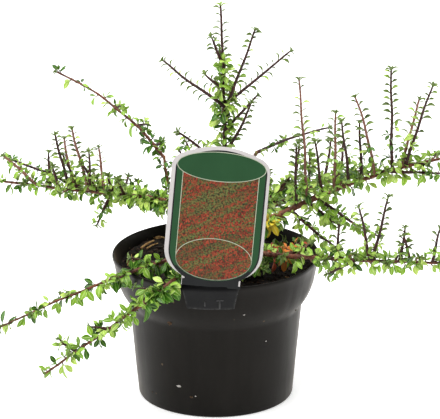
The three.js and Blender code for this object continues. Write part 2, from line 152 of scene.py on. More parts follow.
# How each mass is dressed: the gap between the nodes of its stem, the size of its grown leaves, the size
# of its young leaves, the gap between its side twigs (0 for none), how far it thins out to its tip, and
# the share of the stem where its leaves start.
DRESS = {
    "right": (3.0, 1.0, 0.95, 13, 1.5, 0.17),
    "left": (3.3, 0.88, 0.72, 17, 0.4, 0),
    "leader": (2.2, 1.0, 0.88, 0, 0.1, 0),
    "back_left": (3.2, 0.86, 0.75, 0, 2.2, 0),
    "back_right": (4.6, 0.6, 0.75, 0, 0.4, 0),
    "back": (3.2, 1.0, 0.9, 11, 0.3, 0),
    "back_left_low": (3.2, 0.95, 0.9, 12, 0.3, 0),
    "back_right_low": (3.0, 1.0, 0.9, 10, 0.3, 0),
    "right_low": (3.2, 1.0, 0.95, 14, 0.3, 0),
    "front_left_high": (3.3, 1.08, 0.8, 34, 0.9, 0),
    "front_left_low": (3.0, 1.05, 0.8, 26, 0.7, 0),
    "inner_right": (3.0, 1.0, 0.95, 10, 0.3, 0),
    "basal_right": (3.2, 1.0, 0.9, 12, 0.3, 0),
    "basal_front": (3.4, 0.95, 0.9, 12, 0.3, 0),
}
# The size of a last cluster at the tips of some stems.
LEAFY_TIPS = {"left": 0.8, "back_left": 0.8, "front_left_high": 1.1, "front_left_low": 0.7, "right_low": 0.8}
# Limbs with more clusters on the viewer's side: the share where they start and end, then their gap.
BOUGH_FRONTS = {"right": (0.55, 0.95, 1.8), "left": (0.4, 1, 1.8), "front_left_low": (0.4, 1, 2.4)}
STEM_FRONTS = {"left": (0, 0.14, 2.2), "front_left_low": (0, 0.14, 3.0)}
# The boughs are leafy from a share of their length: that share, the gap between nodes and the leaves' size.
BOUGH_DRESS = {
    "right": (0.25, 1.7, 0.95),
    "left": (0.2, 2.0, 0.9),
    "leader": (0.3, 3.0, 0.95),
    "back_left": (0.3, 3.6, 0.95),
    "back_right": (0.35, 5.0, 0.7),
    "back": (0.4, 4.6, 0.9),
    "back_left_low": (0.4, 4.6, 0.9),
    "back_right_low": (0.35, 4.2, 0.95),
    "right_low": (0.35, 3.4, 0.95),
    "front_left_high": (0.1, 1.9, 1.0),
    "front_left_low": (0.1, 1.5, 1.0),
}
GROWN_LEAF = {"length": 10.8, "width": 4.9}
YOUNG_LEAF = {"length": 9.0, "width": 3.6}
TIP_LEAF = {"length": 8.4, "width": 2.8}
TIP_LEAVES = 6
GOLDEN_ANGLE = 137.5
YOUNG_GAP = 3.1
LEAST_TIP = 0.86
# The ends between which clusters, single leaves and twigs are drawn, as shares, sizes or millimetres.
CLUSTER = {
    "spur": (1.4, 5.2), "spur_lean": (0.1, 0.7), "spur_thick": (1.3, 0.9), "out": (0.45, 0.9),
    "round": (0.4, 0.9), "size": (0.62, 1.12), "width": (0.88, 1.1), "hangs_from": 0.3, "hanging": 1.16,
    "level": 0.9, "threes": 0.6,
}
SINGLE = {"forward": (0.3, 0.7), "face": (0.1, 0.8), "size": (0.6, 1.2), "young_from": 0.35, "missing": 0.1}
TWIG = {"length": (9, 17), "forward": (0.5, 0.9), "thick": (1.7, 1.0), "end": 0.9}
# The shares of the draw below which a leaf is deep green, mid green or, on young wood, young green.
DEEP_SHARE, MID_SHARE, YOUNG_SHARE, TIP_YOUNG_SHARE = 0.34, 0.76, 0.8, 0.95
STEM_TAPER = 0.65
# How far leaves may reach past the box of their mass or of their bough.
REACH_PAST_MASS = 5
REACH_PAST_BOUGH = 12
# A limb steeper than UPRIGHT carries single young leaves past its bare share, and a flatter one clusters.
UPRIGHT = 0.8
LEAFY_SHARE = 0.3
STEM_BARE = {"leader": 0.68}
SHOOT_BARE = {"left": 0.5, "right": 0.42, "right_low": 0.36}
BARE_MASS = {"leader": 0.14, "back_right": 0.3}
# How much paler or darker than the rest a mass is, and how far its leaves bow down.
PALE_MASS = {
    "leader": 0.22, "back_left": -0.16, "left": 0.2, "right": 0.2, "inner_right": 0.16, "back": 0.1,
    "front_left_low": -0.08, "front_left_high": -0.06, "right_low": 0.12,
}
BOW = {"front_left_high": 1.2, "front_left_low": 0.3}
# How short the spurs are where the leaves lie close to the limb.
SPUR = {"front_left_high": 0.35, "front_left_low": 0.7, "left": 0.8}
# Masses on dark slim stems, which keep their twigs dark too.
DARK_MASSES = ("leader", "back_right")
# Shoots with faded, pinkish bark, by their number in each mass, and the draw that fades them.
FADED_SHOOTS = {"right": (1, 3, 6, 8), "left": (1, 3, 5, 9)}
FADED = 0.86

# Where autumn has begun: a place, how far round it, and the tint of the few leaves there.
AUTUMN = [
    ((41, -7, 145), 3.0, "yellow"), ((56, -25, 130), 8, "orange"), ((87, -25, 127), 8, "orange"),
    ((69, -25, 135), 6, "red"), ((46, -30, 126), 6, "red"), ((44, -34, 120), 6, "orange"),
    ((30, 70, 135), 6, "orange"), ((70, 60, 160), 5, "red"),
]


# Directions, chance and limbs.
def heading(azimuth, climb):
    level = math.cos(math.radians(climb))
    return np.array([
        math.cos(math.radians(azimuth)) * level,
        math.sin(math.radians(azimuth)) * level,
        math.sin(math.radians(climb)),
    ])


def unit(vector):
    return vector / max(np.linalg.norm(vector), 1e-9)


class Chance:
    """A seeded row of numbers between two ends, the same on each run."""

    def __init__(self, seed):
        self.state = seed

    def __call__(self, low=0.0, high=1.0):
        self.state = (self.state * 1664525 + 1013904223) % 4294967296
        return low + (high - low) * self.state / 4294967296

    def spread(self):
        return np.array([self(-1, 1), self(-1, 1), self(-1, 1)])


class Limb:
    """A smooth line through evenly spaced points, with its diameters at both ends and how it tapers."""

    def __init__(self, points, thick, waver=0.0, phase=0.0, taper=1.0):
        self.points = np.array(points)
        self.thick = thick
        self.taper = taper
        self.swell = 0.24
        self.fade = None
        self.length = float(np.linalg.norm(np.diff(self.points, axis=0), axis=1).sum())
        self.waver = waver
        self.phase = phase
        self.nodes = []

    def at(self, share):
        spans = len(self.points) - 1
        place = min(max(share, 0.0), 1.0) * spans
        span = min(int(place), spans - 1)
        part = place - span
        ends = [2 * self.points[0] - self.points[1], *self.points, 2 * self.points[-1] - self.points[-2]]
        before, start, end, after = ends[span:span + 4]
        smooth = 0.5 * (
            2 * start + (end - before) * part + (2 * before - 5 * start + 4 * end - after) * part ** 2
            + (3 * start - before - 3 * end + after) * part ** 3
        )
        return smooth + self.wander(share)

    def wander(self, share):
        if not self.waver:
            return np.zeros(3)
        swing = self.waver * math.sin(math.pi * min(max(share, 0), 1)) ** 0.5
        turn = self.phase + share * self.length * 0.13
        return swing * np.array([math.sin(turn), math.cos(turn * 1.3 + 1), 0.6 * math.sin(turn * 0.8 + 2)])

    def along(self, share):
        return unit(self.at(min(share + 0.02, 1)) - self.at(max(share - 0.02, 0)))

    def radius(self, share):
        return (self.thick[0] + (self.thick[1] - self.thick[0]) * max(share, 0) ** self.taper) / 2


def sweep(start, azimuth, climb, length, turn, lift, steps):
    points = [start]
    for i in range(steps):
        share = (i + 0.5) / steps
        points.append(points[-1] + heading(azimuth + turn * share, climb + lift * share) * length / steps)
    return points


def square_to(direction, wish):
    """The unit direction square to a direction that lies nearest to a wish."""
    rest = wish - direction * np.dot(direction, wish)
    if np.linalg.norm(rest) < 1e-3:
        rest = np.cross(direction, np.array([0.3, 0.9, 0.2]))
    return unit(rest)


def turned_round(direction, side, degrees):
    """A side direction turned about a limb's direction."""
    other = np.cross(direction, side)
    angle = math.radians(degrees)
    return math.cos(angle) * side + math.sin(angle) * other


# Meshes from arrays, for what repeats.
def add_object(name, data):
    thing = bpy.data.objects.new(name, data)
    bpy.context.scene.collection.objects.link(thing)
    return thing


def mesh_piece(name, coords, corners, sizes):
    """One object from vertex places in millimetres, the corner list of its faces and their sizes."""
    mesh = bpy.data.meshes.new(name)
    mesh.vertices.add(len(coords))
    mesh.vertices.foreach_set("co", (np.asarray(coords, np.float32) * MM).ravel())
    mesh.loops.add(len(corners))
    mesh.loops.foreach_set("vertex_index", np.asarray(corners, np.int32))
    starts = np.concatenate([[0], np.cumsum(sizes)[:-1]]).astype(np.int32)
    mesh.polygons.add(len(sizes))
    mesh.polygons.foreach_set("loop_start", starts)
    mesh.update(calc_edges=True)
    mesh.validate()
    return add_object(name, mesh)


def tube_arrays(limb, sides, row_gap, relief=0.0, seed=0):
    """The rings of a round limb with a rounded tip, swollen at its nodes, as places, corners and sizes."""
    rows = max(int(limb.length / row_gap), 3)
    shares = np.linspace(0, 1, rows + 1)
    angles = np.arange(sides) * 2 * math.pi / sides
    side = square_to(limb.along(0), UP + np.array([0.2, 0.1, 0]))
    rings = []
    for share in shares:
        direction = limb.along(share)
        side = square_to(direction, side)
        other = np.cross(direction, side)
        radius = limb.radius(share)
        for node in limb.nodes:
            away = (share - node) * limb.length / (0.5 + 0.25 * limb.radius(share))
            radius *= 1 + limb.swell * math.exp(-(away ** 2))
        ripple = np.ones(sides)
        if relief:
            place = share * limb.length * 0.35 + seed
            ripple += relief * np.array([
                noise.noise(Vector((math.cos(a) * 1.6, math.sin(a) * 1.6, place))) for a in angles
            ])
        ring = limb.at(share) + (radius * ripple)[:, None] * (
            np.cos(angles)[:, None] * side + np.sin(angles)[:, None] * other
        )
        rings.append(ring)
    tip = limb.at(1) + limb.along(1) * limb.radius(1) * 0.9
    foot = limb.at(0)
    coords = np.concatenate([*rings, [foot, tip]])
    corners, sizes = [], []
    for row in range(rows):
        for i in range(sides):
            j = (i + 1) % sides
            low, high = row * sides, (row + 1) * sides
            corners += [low + i, low + j, high + j, high + i]
            sizes.append(4)
    last = rows * sides
    for i in range(sides):
        j = (i + 1) % sides
        corners += [j, i, len(coords) - 2, last + i, last + j, len(coords) - 1]
        sizes += [3, 3]
    return coords, corners, sizes


def joined(parts):
    """Several places, corners and sizes as one."""
    coords, corners, sizes, shift = [], [], [], 0
    for part_coords, part_corners, part_sizes in parts:
        coords.append(part_coords)
        corners.append(np.asarray(part_corners) + shift)
        sizes.append(part_sizes)
        shift += len(part_coords)
    return np.concatenate(coords), np.concatenate(corners), np.concatenate(sizes)


def copies(arrays, places):
    """The places, corners and sizes of one shape, copied by a list of 3 x 4 place matrices."""
    coords, corners, sizes = arrays
    places = np.array(places)
    placed = np.einsum("kij,nj->kni", places[:, :, :3], coords) + places[:, None, :, 3]
    shifts = np.arange(len(places))[:, None] * len(coords)
    shifted = (shifts + np.asarray(corners)[None, :]).ravel()
    return placed.reshape(-1, 3), shifted, np.tile(sizes, len(places))


def mark_points(piece, name, values):
    layer = piece.data.color_attributes.new(name, "FLOAT_COLOR", "POINT")
    layer.data.foreach_set("color", np.asarray(values, np.float32).ravel())


def place_matrix(base, across, along, face, width, length, depth):
    return np.stack([across * width, along * length, face * depth, base], axis=1)


# Modelling by hand.
def start_fresh():
    bpy.ops.object.select_all(action="DESELECT")


def named(name):
    piece = bpy.context.object
    piece.name = name
    piece.data.name = name
    bpy.ops.object.transform_apply(location=True, rotation=True, scale=True)
    return piece


def make_active(piece):
    start_fresh()
    piece.select_set(True)
    bpy.context.view_layer.objects.active = piece


def edit_all(piece):
    make_active(piece)
    bpy.ops.object.mode_set(mode="EDIT")
    bpy.ops.mesh.select_all(action="SELECT")


def point_outwards(piece):
    """Every face of a closed piece turned to its outside."""
    edit_all(piece)
    bpy.ops.mesh.normals_make_consistent(inside=False)
    bpy.ops.object.mode_set(mode="OBJECT")


def add_modifier(piece, kind, **values):
    modifier = piece.modifiers.new(kind.title(), kind)
    for key, value in values.items():
        setattr(modifier, key, value)
    return modifier


def apply_all(piece):
    make_active(piece)
    for modifier in list(piece.modifiers):
        bpy.ops.object.modifier_apply(modifier=modifier.name)


def round_corners(piece, width):
    add_modifier(piece, "BEVEL", width=width * MM, segments=2, limit_method="ANGLE", angle_limit=1.0)
    apply_all(piece)


def smooth_edges(piece, degrees):
    piece.data.shade_smooth()
    piece.data.set_sharp_from_angle(angle=math.radians(degrees))


def read_places(piece):
    places = np.zeros(len(piece.data.vertices) * 3, np.float32)
    piece.data.vertices.foreach_get("co", places)
    return places.reshape(-1, 3) / MM


def write_places(piece, places):
    piece.data.vertices.foreach_set("co", (np.asarray(places, np.float32) * MM).ravel())
    piece.data.update()


def arrays_of(piece):
    mesh = piece.data
    corners = np.zeros(len(mesh.loops), np.int32)
    mesh.loops.foreach_get("vertex_index", corners)
    sizes = np.zeros(len(mesh.polygons), np.int32)
    mesh.polygons.foreach_get("loop_total", sizes)
    return read_places(piece), corners, sizes


def taken_away(piece):
    """The arrays of a piece that was only a model for its copies, with its object removed."""
    arrays = arrays_of(piece)
    bpy.data.objects.remove(piece)
    return arrays


def turned_piece(name, profile, segments):
    """A closed solid drawn up ring by ring from a profile of (radius, height)."""
    start_fresh()
    radius, height = profile[0]
    bpy.ops.mesh.primitive_circle_add(
        vertices=segments, radius=radius * MM, fill_type="NGON", location=(0, 0, height * MM)
    )
    piece = named(name)
    edit_all(piece)
    for next_radius, next_height in profile[1:]:
        rise = (next_height - height) * MM
        bpy.ops.mesh.extrude_region_move(TRANSFORM_OT_translate={"value": (0, 0, rise)})
        grow = next_radius / radius
        bpy.ops.transform.resize(value=(grow, grow, 1), center_override=(0, 0, next_height * MM))
        radius, height = next_radius, next_height
    bpy.ops.object.mode_set(mode="OBJECT")
    point_outwards(piece)
    return piece


def finish_piece(piece, slot, material, *nodes):
    piece.data.materials.clear()
    piece.data.materials.append(material)
    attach(piece, "root")
    if nodes:
        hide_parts(*nodes)


# Node trees: two shader groups that several materials share, and the materials.
class Nodes:
    """A node tree being built: its nodes are added one by one and linked."""

    def __init__(self, tree):
        self.nodes = tree.nodes
        self.links = tree.links

    def add(self, kind, settings=None, **inputs):
        node = self.nodes.new("ShaderNode" + kind)
        for key, value in (settings or {}).items():
            setattr(node, key, value)
        for title, value in inputs.items():
            self.feed(node.inputs[title], value)
        return node

    def feed(self, socket, value):
        if isinstance(value, bpy.types.NodeSocket):
            self.links.new(value, socket)
        else:
            socket.default_value = value

    def maths(self, operation, *values, clamp=False):
        node = self.add("Math", {"operation": operation, "use_clamp": clamp})
        for i, value in enumerate(values):
            self.feed(node.inputs[i], value)
        return node.outputs[0]


def new_group(name, inputs, outputs):
    """A group that takes a Vector and named numbers, with its nodes, what it is given and its results."""
    tree = bpy.data.node_groups.new(name, "ShaderNodeTree")
    tree.interface.new_socket("Vector", in_out="INPUT", socket_type="NodeSocketVector")
    for title, value in inputs.items():
        socket = tree.interface.new_socket(title, in_out="INPUT", socket_type="NodeSocketFloat")
        socket.default_value = value
    for title in outputs:
        tree.interface.new_socket(title, in_out="OUTPUT", socket_type="NodeSocketFloat")
    given = tree.nodes.new("NodeGroupInput").outputs
    result = tree.nodes.new("NodeGroupOutput").inputs
    return tree, Nodes(tree), given, result


def mottle_group():
    """Cloudy patches in two sizes: a soft mask for colour and a height for relief."""
    tree, nodes, given, result = new_group("Mottle", {"Scale": 100.0, "Contrast": 2.0}, ["Mask", "Height"])
    broad = nodes.add("TexNoise", Vector=given["Vector"], Scale=given["Scale"], Detail=5).outputs["Fac"]
    closer = nodes.maths("MULTIPLY", given["Scale"], 5.3)
    finer = nodes.add("TexNoise", Vector=given["Vector"], Scale=closer, Detail=3).outputs["Fac"]
    centred = nodes.maths("SUBTRACT", broad, 0.5)
    mask = nodes.maths("MULTIPLY_ADD", centred, given["Contrast"], 0.5, clamp=True)
    nodes.feed(result["Mask"], mask)
    nodes.feed(result["Height"], nodes.maths("MULTIPLY_ADD", finer, 0.35, broad))
    return tree


def specks_group():
    """Small scattered grains, such as dust, berries or pores, each in its own cell."""
    inputs = {"Scale": 400.0, "Size": 0.3, "Share": 0.1}
    tree, nodes, given, result = new_group("Specks", inputs, ["Mask", "Draw"])
    cells = nodes.add("TexVoronoi", Vector=given["Vector"], Scale=given["Scale"]).outputs
    draws = nodes.add("SeparateColor", Color=cells["Color"]).outputs
    near = nodes.maths("LESS_THAN", cells["Distance"], given["Size"])
    drawn = nodes.maths("LESS_THAN", draws[0], given["Share"])
    nodes.feed(result["Mask"], nodes.maths("MULTIPLY", near, drawn))
    nodes.feed(result["Draw"], draws[1])
    return tree


GROUPS = {"mottle": mottle_group(), "specks": specks_group()}


class Finish(Nodes):
    """A material being mixed on a Principled BSDF, in the piece's own Object coordinates."""

    def __init__(self, name, roughness, specular, constants=None):
        self.material = bpy.data.materials.new(name)
        self.material.use_nodes = True
        super().__init__(self.material.node_tree)
        self.shader = self.nodes["Principled BSDF"].inputs
        self.shader["Roughness"].default_value = roughness
        self.shader["Specular IOR Level"].default_value = specular
        for title, value in (constants or {}).items():
            self.shader[title].default_value = value
        self.where = self.add("TexCoord").outputs["Object"]

    def group(self, key, vector, inputs):
        node = self.add("Group")
        node.node_tree = GROUPS[key]
        for title, value in {"Vector": vector or self.where, **inputs}.items():
            self.feed(node.inputs[title], value)
        return node.outputs[0], node.outputs[1]

    def mottle(self, scale, contrast, vector=None):
        """Cloudy patches, as a mask and a height."""
        return self.group("mottle", vector, {"Scale": scale, "Contrast": contrast})

    def specks(self, scale, size, share, vector=None):
        """Scattered grains, as a mask and a draw for each grain."""
        return self.group("specks", vector, {"Scale": scale, "Size": size, "Share": share})

    def stretched(self, scale):
        return self.add("Mapping", Vector=self.where, Scale=scale).outputs[0]

    def attribute(self, name):
        """The red, green, blue and alpha of one of the piece's own attributes."""
        own = self.add("Attribute", {"attribute_name": name}).outputs
        return [*self.add("SeparateColor", Color=own["Color"]).outputs, own["Alpha"]]

    def mix(self, share, first, second):
        node = self.add("Mix", {"data_type": "RGBA"}, Factor=share)
        self.feed(node.inputs[6], first)
        self.feed(node.inputs[7], second)
        return node.outputs[2]

    def lay(self, base, mask, share, colour):
        """A colour laid over the base where a mask is, at a share of its full strength."""
        return self.mix(self.maths("MULTIPLY", mask, share), base, colour)

    def between(self, value, known, wanted):
        """A value moved from a known range into a wanted one."""
        node = self.add("MapRange", Value=value)
        for title, end in zip(("From Min", "From Max", "To Min", "To Max"), (*known, *wanted)):
            node.inputs[title].default_value = end
        return node.outputs[0]

    def done(self, colour, height, depth, strength, roughness=None):
        """The material with its colour, its relief of a depth in millimetres and its worn gloss."""
        self.feed(self.shader["Base Color"], colour)
        bump = self.add("Bump", Height=height, Strength=strength, Distance=depth * MM)
        self.feed(self.shader["Normal"], bump.outputs[0])
        if roughness:
            self.feed(self.shader["Roughness"], roughness)
        return self.material


def linear(value):
    if value > 10:
        return ((value / 255 + 0.055) / 1.055) ** 2.4
    return value / 255 / 12.92


def rgb(red, green, blue):
    """A linear colour from the usual 0 to 255 values."""
    return (linear(red), linear(green), linear(blue), 1)


def pot_plastic():
    """Black plastic with flow streaks, a little dust and a faint warm sheen."""
    finish = Finish("black_moulded_plastic", 0.42, 0.1, {
        "Specular Tint": (1, 0.92, 0.82, 1), "Sheen Weight": 0.12, "Sheen Roughness": 0.3,
        "Sheen Tint": (1, 0.8, 0.55, 1),
    })
    broad, _ = finish.mottle(scale=22, contrast=1.6)
    streaks, ridges = finish.mottle(scale=120, contrast=2.4, vector=finish.stretched((1, 1, 0.16)))
    dust, _ = finish.specks(scale=210, size=0.2, share=0.02)
    base = finish.mix(broad, rgb(9, 9, 9), rgb(17, 16, 15))
    base = finish.lay(base, streaks, 0.08, rgb(62, 58, 55))
    base = finish.lay(base, dust, 0.5, rgb(104, 88, 70))
    worn = finish.maths("MULTIPLY_ADD", streaks, 0.16, 0.34)
    dull = finish.maths("MULTIPLY_ADD", dust, 0.3, worn)
    return finish.done(base, ridges, 0.16, 0.5, dull)


def compost_soil(name, dark, light, scale):
    finish = Finish(name, 0.95, 0.2)
    lumps, height = finish.mottle(scale=scale, contrast=3.2)
    grains, _ = finish.specks(scale=scale * 3.4, size=0.45, share=0.12)
    base = finish.lay(finish.mix(lumps, dark, light), grains, 0.7, rgb(84, 60, 40))
    return finish.done(base, height, 1.2, 0.9)


def straw(name, pale, dark):
    finish = Finish(name, 0.8, 0.3)
    fibres, height = finish.mottle(scale=900, contrast=3, vector=finish.stretched((1, 0.25, 1)))
    return finish.done(finish.mix(fibres, dark, pale), height, 0.3, 0.8)


def bark(name, dark, mid, pale, gloss, scale, faded=None):
    """Reddish bark: fine cross wrinkles, pale raised pores and weathered patches. Some twigs are faded."""
    finish = Finish(name, gloss, 0.4)
    patches, _ = finish.mottle(scale=scale, contrast=2.6)
    fine, wrinkles = finish.mottle(scale=scale * 6, contrast=2.2)
    pores, _ = finish.specks(scale=scale * 7, size=0.34, share=0.2)
    base = finish.mix(patches, dark, mid)
    if faded:
        draw = finish.attribute("twig")[0]
        base = finish.mix(finish.maths("MULTIPLY_ADD", draw, 3.0, -1.95, clamp=True), base, faded)
    base = finish.lay(base, fine, 0.4, dark)
    base = finish.lay(base, pores, 0.75, pale)
    height = finish.maths("MULTIPLY_ADD", pores, 0.5, wrinkles)
    return finish.done(base, height, 0.35, 0.8, finish.maths("MULTIPLY_ADD", patches, 0.2, gloss - 0.1))


def leaf_blade(name, deep, fair, back, rib_and_rim_highlight):
    """A glossy leaf: each one a little lighter or darker, with a pale midrib, a painted highlight along its
    rim and a dull underside.
    """
    finish = Finish(name, 0.3, 0.26)
    draw, along, across, below = finish.attribute("blade")
    cloud, bumps = finish.mottle(scale=420, contrast=2)
    shade = finish.maths("MULTIPLY_ADD", cloud, 0.35, finish.maths("MULTIPLY", draw, 0.8))
    base = finish.mix(finish.maths("SUBTRACT", shade, 0.06, clamp=True), deep, fair)
    rib = finish.between(across, (0, 0.3), (0.5, 0))
    # Painted highlight: each leaf's rim is made pale with the midrib's colour.
    rim = finish.maths("MULTIPLY_ADD", across, 2.6, -2.1, clamp=True)
    base = finish.mix(finish.maths("MAXIMUM", rib, rim), base, rib_and_rim_highlight)
    base = finish.lay(base, below, 0.75, back)
    slanted = finish.add("CombineXYZ", X=across, Y=finish.maths("MULTIPLY_ADD", across, -0.2, along))
    bands = {"wave_type": "BANDS", "bands_direction": "Y"}
    veins = finish.add("TexWave", bands, Vector=slanted.outputs[0], Scale=4.0, Distortion=0.6)
    height = finish.maths("ADD", veins.outputs["Fac"], bumps)
    return finish.done(base, height, 0.16, 0.45, finish.maths("MULTIPLY_ADD", below, 0.34, 0.28))


def card_white():
    finish = Finish("label_white_card", 0.4, 0.5)
    cloud, height = finish.mottle(scale=60, contrast=1.5)
    return finish.done(finish.mix(cloud, rgb(186, 181, 180), rgb(200, 195, 193)), height, 0.05, 0.3)


def print_ink(name, deep, fair, gloss=0.36):
    finish = Finish(name, gloss, 0.25)
    cloud, _ = finish.mottle(scale=45, contrast=1.4)
    grain, height = finish.mottle(scale=1500, contrast=2)
    base = finish.lay(finish.mix(cloud, deep, fair), grain, 0.12, deep)
    return finish.done(base, height, 0.03, 0.3)


def tongue_ink_and_fold_shade():
    """Black card that is worn pale at its sides, with painted shade that darkens it to near black in the
    fold over the rim.
    """
    finish = Finish("label_tongue_ink_with_fold_shade", 0.45, 0.12)
    cloud, bumps = finish.mottle(scale=70, contrast=2)
    rubbed, _ = finish.mottle(scale=260, contrast=4)
    height = finish.add("SeparateXYZ", Vector=finish.where).outputs[2]
    # Painted shade: a share that rises towards the top of the rim and mixes the ink to near black there.
    fold = finish.between(height, [z * MM for z in LABEL["fold"]], (0, 1))
    edge = finish.attribute("wear")[0]
    worn = finish.maths("MULTIPLY", finish.maths("POWER", edge, 2.0), rubbed)
    base = finish.mix(cloud, rgb(13, 13, 14), rgb(24, 24, 25))
    base = finish.lay(base, worn, 0.36, rgb(96, 95, 94))
    base = finish.mix(fold, base, rgb(6, 6, 7))
    return finish.done(base, bumps, 0.1, 0.4, finish.maths("MULTIPLY_ADD", fold, 0.4, 0.45))


def print_picture():
    """A generic printed picture: red and orange berries crowded on leafy green arching twigs."""
    finish = Finish("label_berry_picture", 0.36, 0.24)
    flat = finish.add("TexCoord").outputs["UV"]
    turn = (0, 0, math.radians(28))
    slant = finish.add(
        "Mapping", {"vector_type": "TEXTURE"}, Vector=flat, Rotation=turn, Scale=(3.6, 0.5, 1)
    ).outputs[0]
    boughs, _ = finish.mottle(scale=8, contrast=7, vector=slant)
    gloom, _ = finish.mottle(scale=4, contrast=6, vector=slant)
    leaves, _ = finish.mottle(scale=66, contrast=4, vector=flat)
    berries, ripe = finish.specks(scale=84, size=0.62, share=0.86, vector=flat)
    few, _ = finish.specks(scale=104, size=0.5, share=0.22, vector=flat)
    green = finish.mix(leaves, rgb(28, 36, 22), rgb(102, 114, 60))
    green = finish.lay(green, gloom, 0.7, rgb(52, 34, 26))
    red = finish.mix(ripe, rgb(86, 25, 20), rgb(164, 70, 46))
    laden = finish.maths("ADD", boughs, 0.16, clamp=True)
    crowd = finish.maths("MULTIPLY", berries, laden)
    base = finish.lay(finish.mix(crowd, green, red), few, 0.6, rgb(140, 62, 38))
    return finish.done(base, crowd, 0.02, 0.3)


# Build the pot.
def pot_radius(height):
    heights = [z for _, z in POT_OUTSIDE]
    return float(np.interp(height, heights, [radius for radius, _ in POT_OUTSIDE]))


def pot_inside():
    outer = [(radius - POT["wall"], height) for radius, height in reversed(POT_OUTSIDE) if 4 < height < 115]
    return [(82.1, 117.8), (81.75, 117.1), *outer, (pot_radius(POT["floor"]) - POT["wall"], POT["floor"])]


def dent_pot(piece):
    """Thin plastic that was pressed at the collar: shallow creases at one side and a barely uneven wall."""
    places = read_places(piece)
    azimuth = np.degrees(np.arctan2(places[:, 1], places[:, 0]))
    out = places[:, :2] / np.maximum(np.linalg.norm(places[:, :2], axis=1), 1e-6)[:, None]
    height = places[:, 2]
    shift = np.array([POT["uneven"] * noise.noise(Vector(p * 0.018)) for p in places])
    level = np.exp(-(((height - POT["crease_height"]) / POT["crease_reach"]) ** 2))
    for centre, width, depth in POT["creases"]:
        shift -= depth * np.exp(-(((azimuth - centre) / width) ** 2)) * level
    seen = (height > 2) & (height < 117.5) & (np.linalg.norm(places[:, :2], axis=1) > 30)
    places[:, :2] += out * (shift * seen)[:, None]
    write_places(piece, places)


def make_pot():
    foot = [(20, 0.9), (57.8, 0.9), (58.6, 0.2), (59.4, 0.0)]
    profile = [*foot, *POT_OUTSIDE, *pot_inside(), (20, POT["floor"])]
    piece = turned_piece("nursery_pot", profile, POT["facets"])
    start_fresh()
    cutters = []
    for i in range(POT["holes"]):
        centre = heading(360 / POT["holes"] * (i + 0.5), 0) * POT["hole_circle"] * MM
        bpy.ops.mesh.primitive_cylinder_add(
            vertices=24, radius=POT["hole"] * MM, depth=12 * MM, location=(centre[0], centre[1], 0)
        )
        cutters.append(bpy.context.object)
    for cutter in cutters:
        cutter.select_set(True)
    bpy.context.view_layer.objects.active = cutters[0]
    bpy.ops.object.join()
    holes = named("hole_cutter")
    add_modifier(piece, "BOOLEAN", operation="DIFFERENCE", object=holes, solver="EXACT")
    apply_all(piece)
    bpy.data.objects.remove(holes)
    dent_pot(piece)
    smooth_edges(piece, 40)
    finish_piece(piece, "pot", pot_plastic(), "pot")


# Build the compost, with its crumbs, chips and straws.
def ground_at(x, y):
    """The height of the uneven top of the compost."""
    place = Vector((x, y, 0))
    uneven = sum(height * noise.noise(place * gap + Vector(shift)) for height, gap, shift in GROUND)
    mound = 1.6 * math.exp(-(math.hypot(x, y) / 16) ** 2)
    edge = -1.6 * max(0.0, (math.hypot(x, y) - 66) / 14)
    away = math.dist((x, y), HEAP["middle"]) / HEAP["reach"]
    return COMPOST["top"] - 0.6 + uneven + mound + edge + HEAP["height"] * math.exp(-(away ** 2))


def make_compost():
    gap = POT["wall"] + COMPOST["side_gap"]
    side = [(pot_radius(z) - gap, z) for z in (4, 40, 75, 80, 86, 97, 104)]
    top = COMPOST["top"] - 1
    edge = pot_radius(top) - gap - 0.6
    rings = [(r, top) for r in np.arange(edge, 1.5, -COMPOST["ring_gap"])]
    foot = [(20, COMPOST["bottom"]), (58.9, COMPOST["bottom"])]
    piece = turned_piece("compost_bed", [*foot, *side, *rings], COMPOST["facets"])
    places = read_places(piece)
    for place in places:
        if place[2] > top - 0.5:
            place[2] = ground_at(place[0], place[1])
    write_places(piece, places)
    smooth_edges(piece, 60)
    soil = compost_soil("damp_compost", rgb(9, 7, 6), rgb(30, 23, 18), 240)
    finish_piece(piece, "compost", soil, "compost")


def crumb_model(seed):
    """A knobbly crumb, 1 across, as arrays."""
    start_fresh()
    bpy.ops.mesh.primitive_ico_sphere_add(subdivisions=1, radius=0.5 * MM)
    piece = named("crumb")
    chance = Chance(seed)
    places = read_places(piece)
    places *= np.array([[chance(0.7, 1.25)] for _ in places])
    places *= np.array([1.2, 0.9, 0.75])
    write_places(piece, places)
    return taken_away(piece)


def chip_model():
    """A flat flake of bark, 1 long, thicker in the middle and narrow at its torn ends, as arrays."""
    start_fresh()
    bpy.ops.mesh.primitive_cube_add(size=MM)
    piece = named("chip")
    edit_all(piece)
    bpy.ops.transform.resize(value=(0.42, 1, 0.16))
    bpy.ops.mesh.subdivide(number_cuts=1)
    bpy.ops.object.mode_set(mode="OBJECT")
    places = read_places(piece)
    for place in places:
        place[2] += 0.07 * math.sin(place[0] * 9) - 0.25 * place[1] ** 2
        place[0] += 0.09 * math.sin(place[1] * 7 + 1)
        place[0] *= 1 - 0.7 * abs(place[1]) ** 2
    write_places(piece, places)
    return taken_away(piece)


